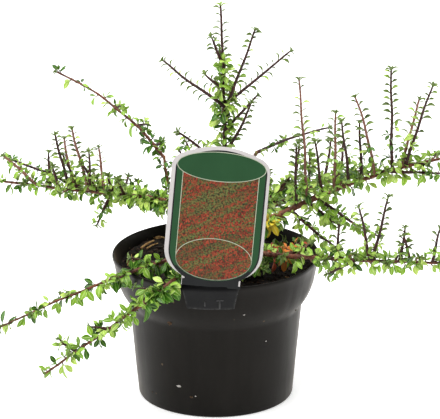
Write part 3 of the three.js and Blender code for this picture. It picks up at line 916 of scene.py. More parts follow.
def scattered(model, count, low, high, chance, flat=0.0, sunk=0.2):
    """Copies of a crumb or chip lying on the compost, clear of the trunk's foot."""
    places = []
    edge = pot_radius(COMPOST["top"]) - POT["wall"] - 1.5
    while len(places) < count:
        x, y = chance(-edge, edge), chance(-edge, edge)
        size = low + (high - low) * chance() ** 2.5
        if not 10 < math.hypot(x, y) < edge - size * 0.5:
            continue
        spin = heading(chance(0, 360), chance(-25, 25) * (1 - flat))
        face = square_to(spin, UP + chance.spread() * (0.9 - 0.7 * flat))
        base = np.array([x, y, ground_at(x, y) + size * (0.25 - sunk)])
        places.append(place_matrix(base, np.cross(spin, face), spin, face, size, size, size))
    return copies(model, places)


def loose_piece(name, arrays, material):
    """Loose bits, such as crumbs or straws, as one piece."""
    piece = mesh_piece(name, *arrays)
    smooth_edges(piece, 50)
    finish_piece(piece, "compost", material)


def make_crumbs():
    chance = Chance(11)
    crumbs = [scattered(crumb_model(seed), 420, 0.9, 3.6, chance) for seed in (3, 4, 5)]
    chips = scattered(chip_model(), 110, 3.0, 8, chance, flat=0.7, sunk=0.1)
    soil = compost_soil("compost_crumb", rgb(12, 9, 7), rgb(48, 35, 25), 500)
    flakes = straw("dark_bark_chip", rgb(64, 42, 28), rgb(22, 15, 11))
    loose_piece("compost_crumbs", joined(crumbs), soil)
    loose_piece("compost_bark_chips", chips, flakes)


# Crumbs and grains of grit that stick to the pot's outside: azimuth, height, width and length.
POT_CRUMBS = [
    (-120.5, 81, 3.4, 6.0), (-27.5, 81, 1.6, 2.0), (-143, 12.5, 1.2, 1.4), (20, 60, 1.6, 1.8),
    (95, 84, 1.8, 1.6), (160, 30, 1.4, 1.6), (-108, 17.5, 1.8, 2.2),
]
POT_GRIT = [
    (-117, 25.5, 3.6, 2.4), (-104.5, 18.5, 1.0, 1.2), (-73.5, 92.5, 1.6, 1.3), (-54.5, 63, 1.0, 1.4),
    (70, 40, 2, 1.6),
]


def make_pot_crumbs():
    brown = compost_soil("dried_crumb", rgb(38, 28, 20), rgb(84, 64, 46), 700)
    pale = compost_soil("pale_grit", rgb(150, 146, 140), rgb(206, 202, 196), 700)
    for name, spots, material in (("pot_crumbs", POT_CRUMBS, brown), ("pot_grit", POT_GRIT, pale)):
        places = []
        for azimuth, height, width, length in spots:
            out = heading(azimuth, 0)
            base = out * (pot_radius(height) + 0.25) + UP * height
            places.append(place_matrix(base, np.cross(UP, out), UP, out, width, length, 1.3))
        loose_piece(name, copies(crumb_model(7), places), material)


# Tan straws that lie on the compost: middle, length, azimuth, climb and thickness.
STRAWS = [
    ((-47, 54), 20, -60, 18, 1.3), ((-44, 50), 14, -35, 10, 1.1), ((-56, 38), 17, 52, 8, 2.2),
    ((-52, 36), 13, 48, 5, 1.6), ((-71, 6), 13, 84, 34, 1.0), ((-68, 11), 11, 96, 28, 0.9),
    ((-22, -40), 10, 70, 30, 0.9), ((20, 58), 16, 12, 5, 1.4), ((48, 40), 13, 118, 7, 1.2),
    ((-12, 62), 15, 60, 4, 1.5), ((58, -30), 10, -60, 8, 1.0), ((10, -62), 11, 20, 6, 1.1),
    ((-34, 46), 14, 150, 5, 1.3), ((66, 10), 9, 95, 8, 1.0),
]


def make_straws():
    parts = []
    for i, ((x, y), length, azimuth, climb, thick) in enumerate(STRAWS):
        raised = thick * 0.45 + length * 0.2 * math.sin(math.radians(climb))
        middle = np.array([x, y, ground_at(x, y) + raised])
        reach = heading(azimuth, climb) * length / 2
        bend = square_to(reach / (length / 2), UP) * length * 0.05
        limb = Limb([middle - reach, middle + bend, middle + reach], (thick, thick * 0.7))
        parts.append(tube_arrays(limb, 6, 1.2, 0.18, i))
    loose_piece("compost_straws", joined(parts), straw("dry_straw", rgb(186, 150, 98), rgb(120, 84, 48)))


# Build the label in its own plane, X across and Z up, then lean it on the rim. Leaves keep clear of its
# half widths, given at heights from the neck up to the straight sides, and of the room that it takes up.
LABEL_HALF_WIDTHS = ((7.6, 11, 16.4, 22, 29), (23, 29.5, 34.6, 37.6, 38.5))
LABEL_ROOM = {"front": 2.2, "behind": 0.8, "foot": -2, "top": 115}


def label_matrix():
    stand = Vector((LABEL["offset"], LABEL["set_back"] - POT["rim"], POT["height"] + LABEL["thickness"]))
    lean = Matrix.Rotation(math.radians(-LABEL["lean"]), 4, "X")
    roll = Matrix.Rotation(math.radians(LABEL["roll"]), 4, "Y")
    return Matrix.Translation(stand * MM) @ lean @ roll


def curve_points(start, control, end, steps):
    """Points along a quadratic curve, without its start."""
    start, control, end = (np.array(p, float) for p in (start, control, end))
    shares = [(i + 1) / steps for i in range(steps)]
    return [tuple((1 - t) ** 2 * start + 2 * t * (1 - t) * control + t ** 2 * end) for t in shares]


def label_outline(inset):
    """The label's outline from the right of its neck round to the left, moved in by an inset."""
    half = LABEL["width"] / 2 - inset
    neck = LABEL["neck"] / 2 - min(inset, PRINT["neck_border"])
    neck_top = LABEL["neck_height"] - inset * 0.5
    shoulder = LABEL["neck_height"] + LABEL["shoulder"]
    top = LABEL["height"] - LABEL["crown"]
    corner = LABEL["corner"]
    rise = top + corner / 3 - inset
    crown = LABEL["height"] + LABEL["crown"] / 2 - inset
    right = [(neck, 0), (neck, neck_top)]
    right += curve_points((neck, neck_top), (half, shoulder - LABEL["shoulder_pull"]), (half, shoulder), 12)
    right += [(half, top - corner)]
    right += curve_points((half, top - corner), (half, top - inset), (half - corner, rise), 10)
    over = curve_points((half - corner, rise), (0, crown), (corner - half, rise), 24)
    left = [(-x, z) for x, z in reversed(right)]
    return right + over + left[1:]


def oval_outline(centre, half_width, half_height, low=0, high=360, steps=72):
    angles = [math.radians(low + (high - low) * i / steps) for i in range(steps + (high - low != 360))]
    return [(half_width * math.cos(a), centre + half_height * math.sin(a)) for a in angles]


def picture_outline():
    centre, half_width, half_height = PRINT["foot_oval"]
    half, top = PRINT["picture_half"], PRINT["picture_top"]
    return [(half, top), (-half, top), *oval_outline(centre, half_width, half_height, 180, 360, 48)]


def neck_outline():
    """The dark foot of the print, from the fold up both sides of the picture's oval."""
    centre, half_width, half_height = PRINT["foot_oval"]
    top = PRINT["dark_foot"]
    edge = LABEL["neck"] / 2
    sides = []
    for fold in PRINT["dark_fold"]:
        side = [(x, z) for x, z in label_outline(PRINT["border"]) if x > 0 and fold < z < top]
        sides.append([(edge, 0), (edge, fold), (side[0][0], fold), *side])
    left, right = sides
    low = math.degrees(math.asin((centre - top) / (half_height + 0.6)))
    under = oval_outline(centre, half_width + 0.6, half_height + 0.6, 180 + low, 360 - low, 32)
    return [*right, *reversed(under), *[(-x, z) for x, z in reversed(left)]]


def card_layer(name, outline, back, front, strip=0.0):
    """A flat layer of an outline between two depths in front of the label's back, or a strip along it."""
    start_fresh()
    bpy.ops.mesh.primitive_circle_add(vertices=len(outline), radius=MM, fill_type="NGON")
    piece = named(name)
    for vertex, (x, z) in zip(piece.data.vertices, outline):
        vertex.co = (x * MM, -back * MM, z * MM)
    edit_all(piece)
    if strip:
        bpy.ops.mesh.inset(thickness=strip * MM, depth=0)
        bpy.ops.mesh.delete(type="FACE")
        bpy.ops.mesh.select_all(action="SELECT")
    bpy.ops.mesh.extrude_region_move(TRANSFORM_OT_translate={"value": (0, (back - front) * MM, 0)})
    bpy.ops.object.mode_set(mode="OBJECT")
    point_outwards(piece)
    return piece


def flat_map(piece):
    """A UV map that follows the label's own plane, one unit for each 100 mm."""
    for old in list(piece.data.uv_layers):
        piece.data.uv_layers.remove(old)
    layer = piece.data.uv_layers.new(name="plane")
    places = read_places(piece)
    for loop in piece.data.loops:
        x, _, z = places[loop.vertex_index]
        layer.data[loop.index].uv = ((x + 40) / 100, z / 100)


def make_label_plate():
    """The white card and the layers of print on it, each a little prouder than the one under it."""
    lean = label_matrix()
    thick, line = LABEL["thickness"], PRINT["line"]
    inner = label_outline(PRINT["border"])
    foot_oval, head_oval = oval_outline(*PRINT["foot_oval"]), oval_outline(*PRINT["head_oval"])
    green = print_ink("label_green_ink", rgb(29, 67, 37), rgb(37, 78, 45))
    dark = print_ink("label_dark_ink", rgb(17, 19, 20), rgb(28, 30, 31))
    pale = print_ink("label_pale_line", rgb(156, 166, 142), rgb(192, 198, 174))
    layers = [
        # name, outline, how proud, width of the line or 0 if it is filled, ink
        ("label_green_print", inner, 0.06, 0, green),
        ("label_dark_edging", inner, 0.1, PRINT["edging"], dark),
        ("label_picture", picture_outline(), 0.1, 0, print_picture()),
        ("label_picture_line", picture_outline(), 0.16, line, pale),
        ("label_foot_oval_line", foot_oval, 0.16, line, pale),
        ("label_head_oval", head_oval, 0.2, 0, green),
        ("label_head_oval_line", head_oval, 0.24, line, pale),
        ("label_neck_print", neck_outline(), 0.12, 0, dark),
    ]
    card = card_layer("label_card", label_outline(0), 0, thick)
    round_corners(card, 0.22)
    pieces = [(card, card_white(), ["label"])]
    for name, outline, proud, strip, ink in layers:
        moved = [(x + PRINT["shift"], z) for x, z in outline]
        layer = card_layer(name, moved, thick - PRINT["sunk"], thick + proud, strip)
        pieces.append((layer, ink, []))
    for piece, material, nodes in pieces:
        flat_map(piece)
        piece.data.transform(lean)
        smooth_edges(piece, 30)
        finish_piece(piece, "label", material, *nodes)


def on_pot(along, radius, height):
    """A place round the pot's axis, at a length along the rim from the front."""
    angle = along / POT["rim"]
    return radius * math.sin(angle), -radius * math.cos(angle), height


def tongue_path():
    """The middle line of the folded neck, from the flap inside over the rim and down the outside."""
    gap, half = LABEL["clearance"], LABEL["thickness"] / 2
    inside = [(pot_radius(z) - POT["wall"] - gap - half, z) for z in (109.2, 112, 115, 117)]
    outside = [(pot_radius(z) + gap + half, z) for z in (117, 114, 110, 106, 102, 99.2)]
    top = POT["height"] + gap + half
    middle = (inside[-1][0] + outside[0][0]) / 2
    over = [(inside[-1][0] + 0.4, top - 0.25), (middle, top), (outside[0][0] - 0.4, top - 0.25)]
    return inside + over + outside


def make_label_tongue():
    path = tongue_path()
    last = len(path) - 1
    start_fresh()
    bpy.ops.mesh.primitive_grid_add(x_subdivisions=18, y_subdivisions=last, size=MM)
    piece = named("label_tongue")
    places = read_places(piece)
    wear = []
    for place in places:
        row = int(round((place[1] + 0.5) * last))
        radius, height = path[row]
        outside = row > len(path) / 2
        down = max(0.0, (POT["height"] - height) / LABEL["tongue_depth"]) if outside else 0
        width = LABEL["tongue"] + (LABEL["tongue_tip"] - LABEL["tongue"]) * down
        wear.append(float(outside and (abs(place[0]) > 0.49 or row == last)))
        place[:] = on_pot(LABEL["offset"] + place[0] * width, radius, height)
    write_places(piece, places)
    mark_points(piece, "wear", np.column_stack([wear, wear, wear, np.ones(len(wear))]))
    add_modifier(piece, "SOLIDIFY", thickness=LABEL["thickness"] * MM, offset=0)
    round_corners(piece, 0.25)
    point_outwards(piece)
    smooth_edges(piece, 40)
    finish_piece(piece, "label", tongue_ink_and_fold_shade())


# Small raised bars on the tongue's outside: middle, height, half width and half height.
TONGUE_BARS = [(3.4, 107.4, 2.9, 0.5), (3.2, 103.6, 0.7, 3.6), (-8.6, 104.4, 0.5, 2.4)]


def make_tongue_mark():
    parts = []
    for middle, height, half_width, half_height in TONGUE_BARS:
        start_fresh()
        bpy.ops.mesh.primitive_cube_add(size=2 * MM)
        bar = named("mark_bar")
        places = read_places(bar)
        for place in places:
            high = height + place[2] * half_height
            radius = pot_radius(high) + LABEL["clearance"] + LABEL["thickness"] + place[1] * 0.22
            place[:] = on_pot(middle + place[0] * half_width, radius, high)
        write_places(bar, places)
        parts.append(taken_away(bar))
    piece = mesh_piece("label_tongue_mark", *joined(parts))
    point_outwards(piece)
    finish_piece(piece, "label", print_ink("label_mark_ink", rgb(40, 40, 41), rgb(66, 66, 66), 0.5))


# Grow the trunk and the boughs.
def trunk_limb():
    foot = np.array([TRUNK["foot"], 0.0, COMPOST["top"] + 0.3])
    points = sweep(foot, TRUNK["azimuth"], TRUNK["climb"], TRUNK["length"], 0, 0, 8)
    return Limb(points, TRUNK["thick"])


def trunk_arrays(limb):
    """The trunk's rings, spread at the foot into low root ridges."""
    sides = 40
    coords, corners, sizes = tube_arrays(limb, sides, 0.8)
    rings = (len(coords) - 2) // sides
    for row in range(rings):
        share = row / (rings - 1)
        centre = limb.at(share)
        for i in range(row * sides, (row + 1) * sides):
            angle = i % sides / sides * 2 * math.pi
            ridge = 1 + 0.34 * math.cos(TRUNK["lobes"] * angle + 0.7)
            flare = TRUNK["flare"] * math.exp(-share * 5) * ridge
            spoke = coords[i] - centre
            coords[i] = centre + spoke * (1 + flare / np.linalg.norm(spoke))
    low = COMPOST["top"] + 0.3
    coords[:, 2] = np.where(coords[:, 2] < low + 1.4, np.minimum(coords[:, 2], low), coords[:, 2])
    return coords, corners, sizes


def make_limbs(trunk, boughs):
    """The trunk and boughs grown together into one skin, with knobs and wrinkles in relief."""
    parts = [trunk_arrays(trunk)]
    for i, bough in enumerate(boughs.values()):
        bough.nodes = list(np.arange(0.12, 1, 6.5 / bough.length))
        bough.swell = 0.1
        parts.append(tube_arrays(bough, 20, 0.9, 0.14, i * 9.1))
    piece = mesh_piece("trunk_and_boughs", *joined(parts))
    add_modifier(piece, "REMESH", mode="VOXEL", voxel_size=0.55 * MM)
    add_modifier(piece, "SMOOTH", factor=0.5, iterations=3)
    for name, kind, size, strength in (("knobs", "CLOUDS", 5.0, 0.9), ("wrinkles", "VORONOI", 1.5, 0.35)):
        texture = bpy.data.textures.new("bark_" + name, kind)
        texture.noise_scale = size * MM
        add_modifier(piece, "DISPLACE", texture=texture, texture_coords="LOCAL", strength=strength * MM,
                     mid_level=0.5)
    apply_all(piece)
    smooth_edges(piece, 180)
    old = bark("weathered_bark", rgb(66, 36, 23), rgb(166, 106, 72), rgb(204, 156, 116), 0.65, 130)
    finish_piece(piece, "bark", old, "trunk", *["bough_" + name for name in boughs])


# Model each kind of leaf once, from rows of (share of its length, share of its width), its slopes at the
# foot and the tip, and how far it folds along the midrib.
LEAF_SHAPES = {
    "oval": {
        "rows": [(0, 0.12), (0.14, 0.13), (0.3, 0.7), (0.5, 1.0), (0.7, 0.9), (0.88, 0.5), (1, 0.05)],
        "rise": 10, "fall": -14, "fold": 0.1,
    },
    "hanging": {
        "rows": [(0, 0.12), (0.16, 0.13), (0.34, 0.66), (0.55, 1.0), (0.76, 0.82), (0.91, 0.4), (1, 0.05)],
        "rise": 20, "fall": -26, "fold": 0.16,
    },
    "narrow": {
        "rows": [(0, 0.3), (0.16, 0.32), (0.4, 0.86), (0.64, 1.0), (0.86, 0.6), (1, 0.08)],
        "rise": 34, "fall": -58, "fold": 0.2,
    },
}


def leaf_model(name):
    """A thin closed leaf, 1 long and 1 wide, its stalk's foot at the origin and its upper face up, as
    arrays, with each vertex's share along, share across and side in three columns."""
    shape = LEAF_SHAPES[name]
    rows = shape["rows"]
    start_fresh()
    bpy.ops.mesh.primitive_grid_add(x_subdivisions=2, y_subdivisions=len(rows) - 1, size=MM)
    piece = named("leaf_" + name)
    places = read_places(piece)
    marks = np.zeros((len(places), 2))
    reach = [(0.0, 0.0)]
    for (start, _), (end, _) in zip(rows, rows[1:]):
        angle = math.radians(shape["rise"] + (shape["fall"] - shape["rise"]) * (start + end) / 2)
        step = end - start
        reach.append((reach[-1][0] + step * math.cos(angle), reach[-1][1] + step * math.sin(angle)))
    for i, place in enumerate(places):
        row = int(round((place[1] + 0.5) * (len(rows) - 1)))
        share, width = rows[row]
        side = place[0] * 2
        marks[i] = (share, abs(side))
        place[:] = (side * width / 2, reach[row][0], reach[row][1] + abs(side) * width * shape["fold"] / 2)
    write_places(piece, places)
    add_modifier(piece, "SOLIDIFY", thickness=0.035 * MM, offset=-1)
    apply_all(piece)
    below = np.repeat([0.0, 1.0], len(marks))
    return taken_away(piece), np.column_stack([np.concatenate([marks, marks]), below])


LEAVES_TO_A_PIECE = 2200
TINTS = {
    # deep and fair ends of the upper face, the underside, and the midrib's colour, which is also the rim's
    # painted highlight
    "deep_green": (rgb(12, 42, 1), rgb(60, 112, 12), rgb(84, 122, 34), rgb(144, 188, 84)),
    "mid_green": (rgb(62, 110, 8), rgb(146, 190, 48), rgb(134, 170, 66), rgb(212, 236, 150)),
    "fresh_green": (rgb(112, 160, 34), rgb(192, 220, 100), rgb(172, 198, 112), rgb(232, 242, 172)),
    "young_green": (rgb(44, 64, 18), rgb(110, 136, 56), rgb(118, 140, 78), rgb(164, 186, 110)),
    "yellow": (rgb(214, 184, 30), rgb(244, 222, 66), rgb(226, 206, 96), rgb(248, 236, 130)),
    "orange": (rgb(198, 86, 28), rgb(232, 142, 60), rgb(222, 144, 90), rgb(246, 186, 110)),
    "red": (rgb(124, 44, 28), rgb(172, 76, 48), rgb(168, 100, 78), rgb(206, 124, 90)),
}


class Crown:
    """Everything that grows: the twigs to skin and the leaves to place, kept apart by kind and tint."""

    def __init__(self, limbs):
        self.old_wood = []
        self.young_wood = []
        self.leaves = {}
        samples = [(limb.at(s), limb.radius(s)) for limb in limbs for s in np.linspace(0, 1, 30)]
        self.centres = np.array([centre for centre, _ in samples])
        self.radii = np.array([radius for _, radius in samples])
        self.to_label = np.array(label_matrix().inverted())

    def turn_to(self, name, node, reach, palest=1.0):
        """Take up the habit of one mass or bough, and the box that its leaves stay in."""
        self.pale = min(PALE_MASS.get(name, 0.0), palest)
        self.bow = BOW.get(name, 0.35)
        self.spur = SPUR.get(name, 1.0)
        low, high = (np.array(corner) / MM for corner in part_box(node))
        self.box = (low - reach, high + reach)

    def is_inside(self, place, margin=0):
        low, high = self.box
        return not ((place < low + margin).any() or (place > high - margin).any())

    def is_clear(self, place, margin=0.6):
        """True if a place is off the compost, the pot's wall, the label and the boughs."""
        reach = math.hypot(place[0], place[1])
        if reach < pot_radius(min(place[2], 118)) and place[2] < COMPOST["top"] + margin:
            return False
        wall = abs(reach - pot_radius(min(place[2], 118)) + POT["wall"] / 2) - POT["wall"] / 2
        if place[2] < POT["height"] + margin and wall < margin + 0.6:
            return False
        x, y, z, _ = self.to_label @ np.array([*(place * MM), 1]) / MM
        beside = abs(x) < np.interp(z, *LABEL_HALF_WIDTHS) + margin
        at_plate = -LABEL_ROOM["front"] - margin < y < margin + LABEL_ROOM["behind"]
        if beside and at_plate and LABEL_ROOM["foot"] < z < LABEL_ROOM["top"]:
            return False
        return bool((np.linalg.norm(self.centres - place, axis=1) > self.radii + margin * 0.5).all())

    def add_leaf(self, tint, shape, base, along, face, length, width, draw):
        along = unit(along)
        face = square_to(along, face)
        across = np.cross(along, face)
        tip = base + along * length * 0.9
        middle = base + along * length * 0.5
        if not (self.is_clear(tip) and self.is_clear(middle, 1.0) and self.is_inside(tip)):
            return
        place = place_matrix(base, across, along, face, width, length, length)
        self.leaves.setdefault(tint, []).append((shape, place, draw))


def spray_tint(place, chance, young, pale=0.0):
    for centre, reach, tint in AUTUMN:
        if np.linalg.norm(place - np.array(centre)) < reach:
            return tint
    draw = chance() + pale
    if young:
        return "young_green" if draw < YOUNG_SHARE else "fresh_green"
    if draw < DEEP_SHARE:
        return "deep_green"
    return "mid_green" if draw < MID_SHARE else "fresh_green"


def cluster(crown, limb, share, side, size, count, chance):
    """A short spur with a fan of grown leaves. Those that hang face out and the rest face up."""
    along = limb.along(share)
    base = limb.at(share) + side * limb.radius(share) * 0.7
    lean = unit(side + along * chance(*CLUSTER["spur_lean"]) + chance.spread() * 0.25)
    spur_length = chance(*CLUSTER["spur"]) * size * crown.spur
    spur = Limb([base, base + lean * spur_length], [thick * size for thick in CLUSTER["spur_thick"]])
    crown.young_wood.append((spur, 5))
    tint = spray_tint(base, chance, False, crown.pale)
    tip = spur.at(1)
    for i in range(count):
        first = square_to(lean, along + chance.spread() * 0.3)
        around = turned_round(lean, first, 360 * i / count + chance(-25, 25))
        out = lean * chance(*CLUSTER["out"])
        way = unit(out + around * chance(*CLUSTER["round"]) - UP * chance(0, crown.bow))
        down = max(0.0, -way[2])
        face = UP * (0.7 - 0.5 * down) + side * 0.5 * down + along * 0.35 + TOWARDS_VIEW * 0.3
        face = face + chance.spread() * 0.5
        hangs = down > CLUSTER["hangs_from"]
        grown = size * chance(*CLUSTER["size"]) * CLUSTER["hanging" if hangs else "level"]
        shape = "hanging" if hangs else "oval"
        start = tip - lean * chance(0, 0.85) * spur_length
        width = GROWN_LEAF["width"] * grown * chance(*CLUSTER["width"])
        crown.add_leaf(tint, shape, start, way, face, GROWN_LEAF["length"] * grown, width, chance())


def single(crown, limb, share, side, size, chance):
    """One narrow leaf that stands out from a shoot and curls over."""
    along = limb.along(share)
    base = limb.at(share) + side * limb.radius(share) * 0.7
    way = unit(along * chance(*SINGLE["forward"]) + side + chance.spread() * 0.12)
    face = along + TOWARDS_VIEW * chance(*SINGLE["face"]) + chance.spread() * 0.2
    grown = size * chance(*SINGLE["size"])
    tint = spray_tint(base, chance, share > SINGLE["young_from"])
    length, width = YOUNG_LEAF["length"] * grown, YOUNG_LEAF["width"] * grown
    crown.add_leaf(tint, "narrow", base, way, face, length, width, chance())


def rosette(crown, limb, size, chance):
    """The crowded small leaves at a shoot's tip."""
    along = limb.along(1)
    side = square_to(along, chance.spread())
    tint = "young_green" if chance() < TIP_YOUNG_SHARE else "fresh_green"
    for i in range(TIP_LEAVES):
        around = turned_round(along, side, GOLDEN_ANGLE * i)
        way = unit(along * (0.5 + 0.12 * i) + around * chance(0.6, 0.95))
        base = limb.at(1) - along * (1.6 - 0.26 * i)
        grown = size * (1.05 - 0.09 * i) * chance(0.85, 1.1)
        length, width = TIP_LEAF["length"] * grown, TIP_LEAF["width"] * grown
        crown.add_leaf(tint, "narrow", base, way, along + around * 0.2, length, width, chance())


def dress_limb(crown, limb, gap, size, young, chance, start=0.0, bare=1.0, upright=UPRIGHT, thin=0.0):
    """Leaves along a limb: clusters where it is old or lies level, single narrow leaves up a bare shoot."""
    reach = start * limb.length + gap * chance(0.4, 1.0)
    across = chance(-30, 30)
    angle = chance(0, 360)
    hand = 1
    while reach < limb.length - 2:
        share = reach / limb.length
        along = limb.along(share)
        limb.nodes.append(share)
        if along[2] > upright and share > bare:
            level = square_to(along, np.cross(along, TOWARDS_VIEW) * hand)
            side = turned_round(along, level, across + chance(-18, 18))
            if chance() > SINGLE["missing"]:
                single(crown, limb, share, side, young * (1.16 - 0.36 * share), chance)
            hand = -hand
            reach += YOUNG_GAP * young * chance(0.85, 1.15)
        else:
            side = turned_round(along, square_to(along, UP + np.array([0.2, 0.1, 0])), angle)
            count = 3 if chance() < CLUSTER["threes"] else 4
            cluster(crown, limb, share, side, size * (1.0 - 0.2 * share), count, chance)
            angle += GOLDEN_ANGLE + chance(-20, 20)
            reach += gap * (1 + thin * share) * chance(0.8, 1.2)


def dress_front(crown, limb, start, end, gap, size, chance):
    """More clusters between two shares of a limb, all on the viewer's side."""
    reach = start * limb.length
    while reach < end * limb.length:
        share = reach / limb.length
        side = square_to(limb.along(share), TOWARDS_VIEW + UP * chance(-0.9, 0.9))
        cluster(crown, limb, share, side, size, 3, chance)
        reach += gap * chance(0.8, 1.2)


def side_twigs(crown, stem, gap, size, young, chance, start=0.0):
    """Finer twigs that leave the stem to both sides, with leaves of their own."""
    reach = start * stem.length + gap * chance(0.4, 0.8)
    hand = 1
    while reach < stem.length * TWIG["end"]:
        share = reach / stem.length
        along = stem.along(share)
        level = square_to(along, np.cross(along, UP) * hand + UP * chance(-0.1, 0.7))
        way = unit(level + along * chance(*TWIG["forward"]) + UP * 0.15)
        length = chance(*TWIG["length"]) * (1.1 - 0.4 * share)
        foot = stem.at(share)
        bend = square_to(way, UP) * length * 0.08
        end = foot + way * length
        reach += gap * chance(0.8, 1.2)
        hand = -hand
        if not (crown.is_clear(end, 2) and crown.is_inside(end, 2)):
            continue
        twig = Limb([foot, foot + way * length * 0.5 + bend, end], TWIG["thick"], 0.3, chance(0, 6))
        dress_limb(crown, twig, 3.0, size * 0.78, young * 0.9, chance, bare=0.2)
        rosette(crown, twig, young, chance)
        crown.young_wood.append((twig, 6))


def start_on_trunk(trunk, height):
    return trunk.at(height / TRUNK["length"])


def grow_boughs(trunk):
    boughs = {}
    for name, (height, azimuth, climb, length, turn, lift, thick) in BOUGHS.items():
        points = sweep(start_on_trunk(trunk, height), azimuth, climb, length, turn, lift, 7)
        boughs[name] = Limb(points, thick)
    return boughs


def grow_mass(crown, name, seed, trunk, boughs):
    (azimuth, climb, length, turn, lift, thick), shoots = FOLIAGE[name]
    gap, size, young, twig_gap, thin, leafy_from = DRESS[name]
    chance = Chance(seed)
    crown.turn_to(name, "foliage_" + name, REACH_PAST_MASS)
    start = boughs[name].at(JOIN_SHARE) if name in boughs else start_on_trunk(trunk, TRUNK_STARTS[name])
    if name in boughs:
        thick = (boughs[name].thick[1] * 1.02, thick[1])
    stem = Limb(sweep(start, azimuth, climb, length, turn, lift, 7), thick, 0.35, seed, STEM_TAPER)
    bare = STEM_BARE.get(name, LEAFY_SHARE)
    dress_limb(crown, stem, gap, size, young, chance, start=leafy_from, bare=bare, thin=thin)
    rosette(crown, stem, max(young, LEAST_TIP), chance)
    if name in LEAFY_TIPS:
        tip_side = square_to(stem.along(1), UP + chance.spread())
        cluster(crown, stem, JOIN_SHARE, tip_side, LEAFY_TIPS[name], 4, chance)
    if name in STEM_FRONTS:
        dress_front(crown, stem, *STEM_FRONTS[name], size, chance)
    if twig_gap:
        side_twigs(crown, stem, twig_gap, size, young, chance, leafy_from)
    dark = name in DARK_MASSES
    (crown.young_wood if dark else crown.old_wood).append((stem, 12))
    stem.fade = 0.0
    for i, (share, reach, shoot_azimuth, shoot_climb, shoot_lift) in enumerate(shoots):
        points = sweep(stem.at(share), shoot_azimuth, shoot_climb, reach, 0, shoot_lift, 3)
        shoot = Limb(points, SHOOT_THICK, 0.45, seed + i)
        if name in BARE_MASS:
            dress_limb(crown, shoot, gap, size * 0.8, young, chance, bare=BARE_MASS[name], upright=-1)
        elif shoot_climb > STEEP:
            bare = SHOOT_BARE.get(name, LEAFY_SHARE)
            dress_limb(crown, shoot, 4.0, size * 0.78, young, chance, bare=bare)
        else:
            dress_limb(crown, shoot, gap, size * 0.85, young, chance)
        rosette(crown, shoot, max(young, LEAST_TIP), chance)
        shoot.fade = FADED if i in FADED_SHOOTS.get(name, ()) else 0.0
        crown.young_wood.append((shoot, 8))


def dress_boughs(crown, boughs):
    """Leaves on the outer parts of the boughs, with a seed of their own for each."""
    for i, (name, (start, gap, size)) in enumerate(BOUGH_DRESS.items()):
        crown.turn_to(name, "bough_" + name, REACH_PAST_BOUGH, palest=0.1)
        chance = Chance(101 + i)
        dress_limb(crown, boughs[name], gap, size, 1.0, chance, start=start)
        if name in BOUGH_FRONTS:
            dress_front(crown, boughs[name], *BOUGH_FRONTS[name], size, chance)


def skin_wood(name, twigs, row_gap, relief, material, nodes):
    """The twigs' skins as one piece, with a draw for each twig in the attribute that the bark reads."""
    parts = [tube_arrays(limb, sides, row_gap, relief, i * 3.7) for i, (limb, sides) in enumerate(twigs)]
    piece = mesh_piece(name, *joined(parts))
    chance = Chance(29)
    draws = [chance() if limb.fade is None else limb.fade for limb, _ in twigs]
    draws = np.repeat(draws, [len(coords) for coords, _, _ in parts])
    mark_points(piece, "twig", np.column_stack([draws, draws, draws, np.ones(len(draws))]))
    smooth_edges(piece, 60)
    finish_piece(piece, "bark", material, *nodes)


def leaf_piece(name, leaves, models, material, nodes):
    """One piece of leaves in one tint, with each leaf's own draw and places in an attribute."""
    parts, marks = [], []
    for shape, (arrays, own_marks) in models.items():
        own = [(place, draw) for kind, place, draw in leaves if kind == shape]
        if own:
            parts.append(copies(arrays, [place for place, _ in own]))
            draws = np.repeat([draw for _, draw in own], len(own_marks))
            marks.append(np.column_stack([draws, np.tile(own_marks, (len(own), 1))]))
    piece = mesh_piece(name, *joined(parts))
    mark_points(piece, "blade", np.concatenate(marks))
    smooth_edges(piece, 60)
    finish_piece(piece, "foliage", material, *nodes)


def make_leaves(crown, nodes):
    models = {name: leaf_model(name) for name in LEAF_SHAPES}
    for tint, leaves in crown.leaves.items():
        material = leaf_blade("leaf_" + tint, *TINTS[tint])
        for i in range(0, len(leaves), LEAVES_TO_A_PIECE):
            name = f"leaves_{tint}_{i // LEAVES_TO_A_PIECE + 1}"
            leaf_piece(name, leaves[i:i + LEAVES_TO_A_PIECE], models, material, nodes)


def make_plant():
    trunk = trunk_limb()
    boughs = grow_boughs(trunk)
    make_limbs(trunk, boughs)
    crown = Crown([trunk, *boughs.values()])
    for i, name in enumerate(FOLIAGE):
        grow_mass(crown, name, i + 1, trunk, boughs)
    dress_boughs(crown, boughs)
    nodes = ["foliage_" + name for name in FOLIAGE]
    stem_bark = bark("stem_bark", rgb(56, 26, 16), rgb(136, 76, 50), rgb(188, 138, 104), 0.6, 220)
    shoot_bark = bark(
        "shoot_bark", rgb(32, 12, 9), rgb(78, 34, 26), rgb(150, 104, 84), 0.5, 320, rgb(176, 122, 104)
    )
    skin_wood("old_stems", crown.old_wood, 1.1, 0.2, stem_bark, nodes)
    skin_wood("young_twigs", crown.young_wood, 1.4, 0.0, shoot_bark, nodes)
    make_leaves(crown, nodes)


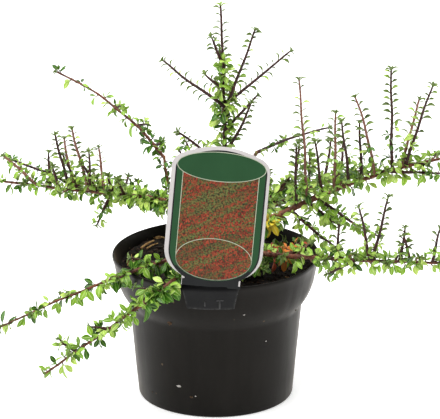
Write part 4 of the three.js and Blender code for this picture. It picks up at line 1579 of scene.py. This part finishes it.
# The studio: a pale floor, soft light and the camera at the photograph's angle.
CAMERA = {
    "aim": (0.0034, 0.0, 0.1547), "elevation": 18.65, "distance": 2.447, "lens": 249.3, "sensor": 36,
    "near": 0.1, "far": 30,
}
SOFT_LIGHTS = [
    # name, place, size, power
    ("top_light", (-0.25, -0.3, 2.3), 1.3, 58),
    ("left_side_light", (-1.9, 0.3, 0.8), 1.4, 17),
    ("right_side_light", (1.9, 0.4, 0.8), 1.4, 14),
    ("back_light", (0.2, 1.7, 1.7), 1.5, 24),
]
LIT_PLACE = (0, 0, 0.13)
STUDIO = {"air": 0.36, "floor_size": 12, "floor_glow": 0.45}


def make_camera():
    data = bpy.data.cameras.new("photo_camera")
    camera = add_object("photo_camera", data)
    back = Vector(heading(-90, CAMERA["elevation"]))
    camera.location = Vector(CAMERA["aim"]) + back * CAMERA["distance"]
    camera.rotation_euler = (-back).to_track_quat("-Z", "Y").to_euler()
    data.sensor_width = CAMERA["sensor"]
    data.lens = CAMERA["lens"]
    data.clip_start = CAMERA["near"]
    data.clip_end = CAMERA["far"]
    bpy.context.scene.camera = camera


def make_lights():
    for name, place, size, power in SOFT_LIGHTS:
        data = bpy.data.lights.new(name, "AREA")
        data.size = size
        data.energy = power
        light = add_object(name, data)
        light.location = place
        light.rotation_euler = (Vector(LIT_PLACE) - Vector(place)).to_track_quat("-Z", "Y").to_euler()


def make_world():
    world = bpy.data.worlds.new("pale_studio")
    bpy.context.scene.world = world
    world.use_nodes = True
    background = world.node_tree.nodes["Background"].inputs
    background["Color"].default_value = (1, 1, 1, 1)
    background["Strength"].default_value = STUDIO["air"]


def make_floor():
    start_fresh()
    bpy.ops.mesh.primitive_plane_add(size=STUDIO["floor_size"])
    floor = named("studio_floor")
    glow = {"Emission Color": (1, 1, 1, 1), "Emission Strength": STUDIO["floor_glow"]}
    finish = Finish("pale_floor", 0.8, 0.3, glow)
    cloud, _ = finish.mottle(scale=3, contrast=1)
    tone = finish.mix(cloud, (0.9, 0.9, 0.9, 1), (0.94, 0.94, 0.94, 1))
    finish.feed(finish.shader["Base Color"], tone)
    floor.data.materials.append(finish.material)


make_camera()
make_lights()
make_world()
make_floor()
make_pot()
make_compost()
make_crumbs()
make_straws()
make_pot_crumbs()
make_label_plate()
make_label_tongue()
make_tongue_mark()
make_plant()
bpy.context.scene.view_settings.view_transform = "Standard"
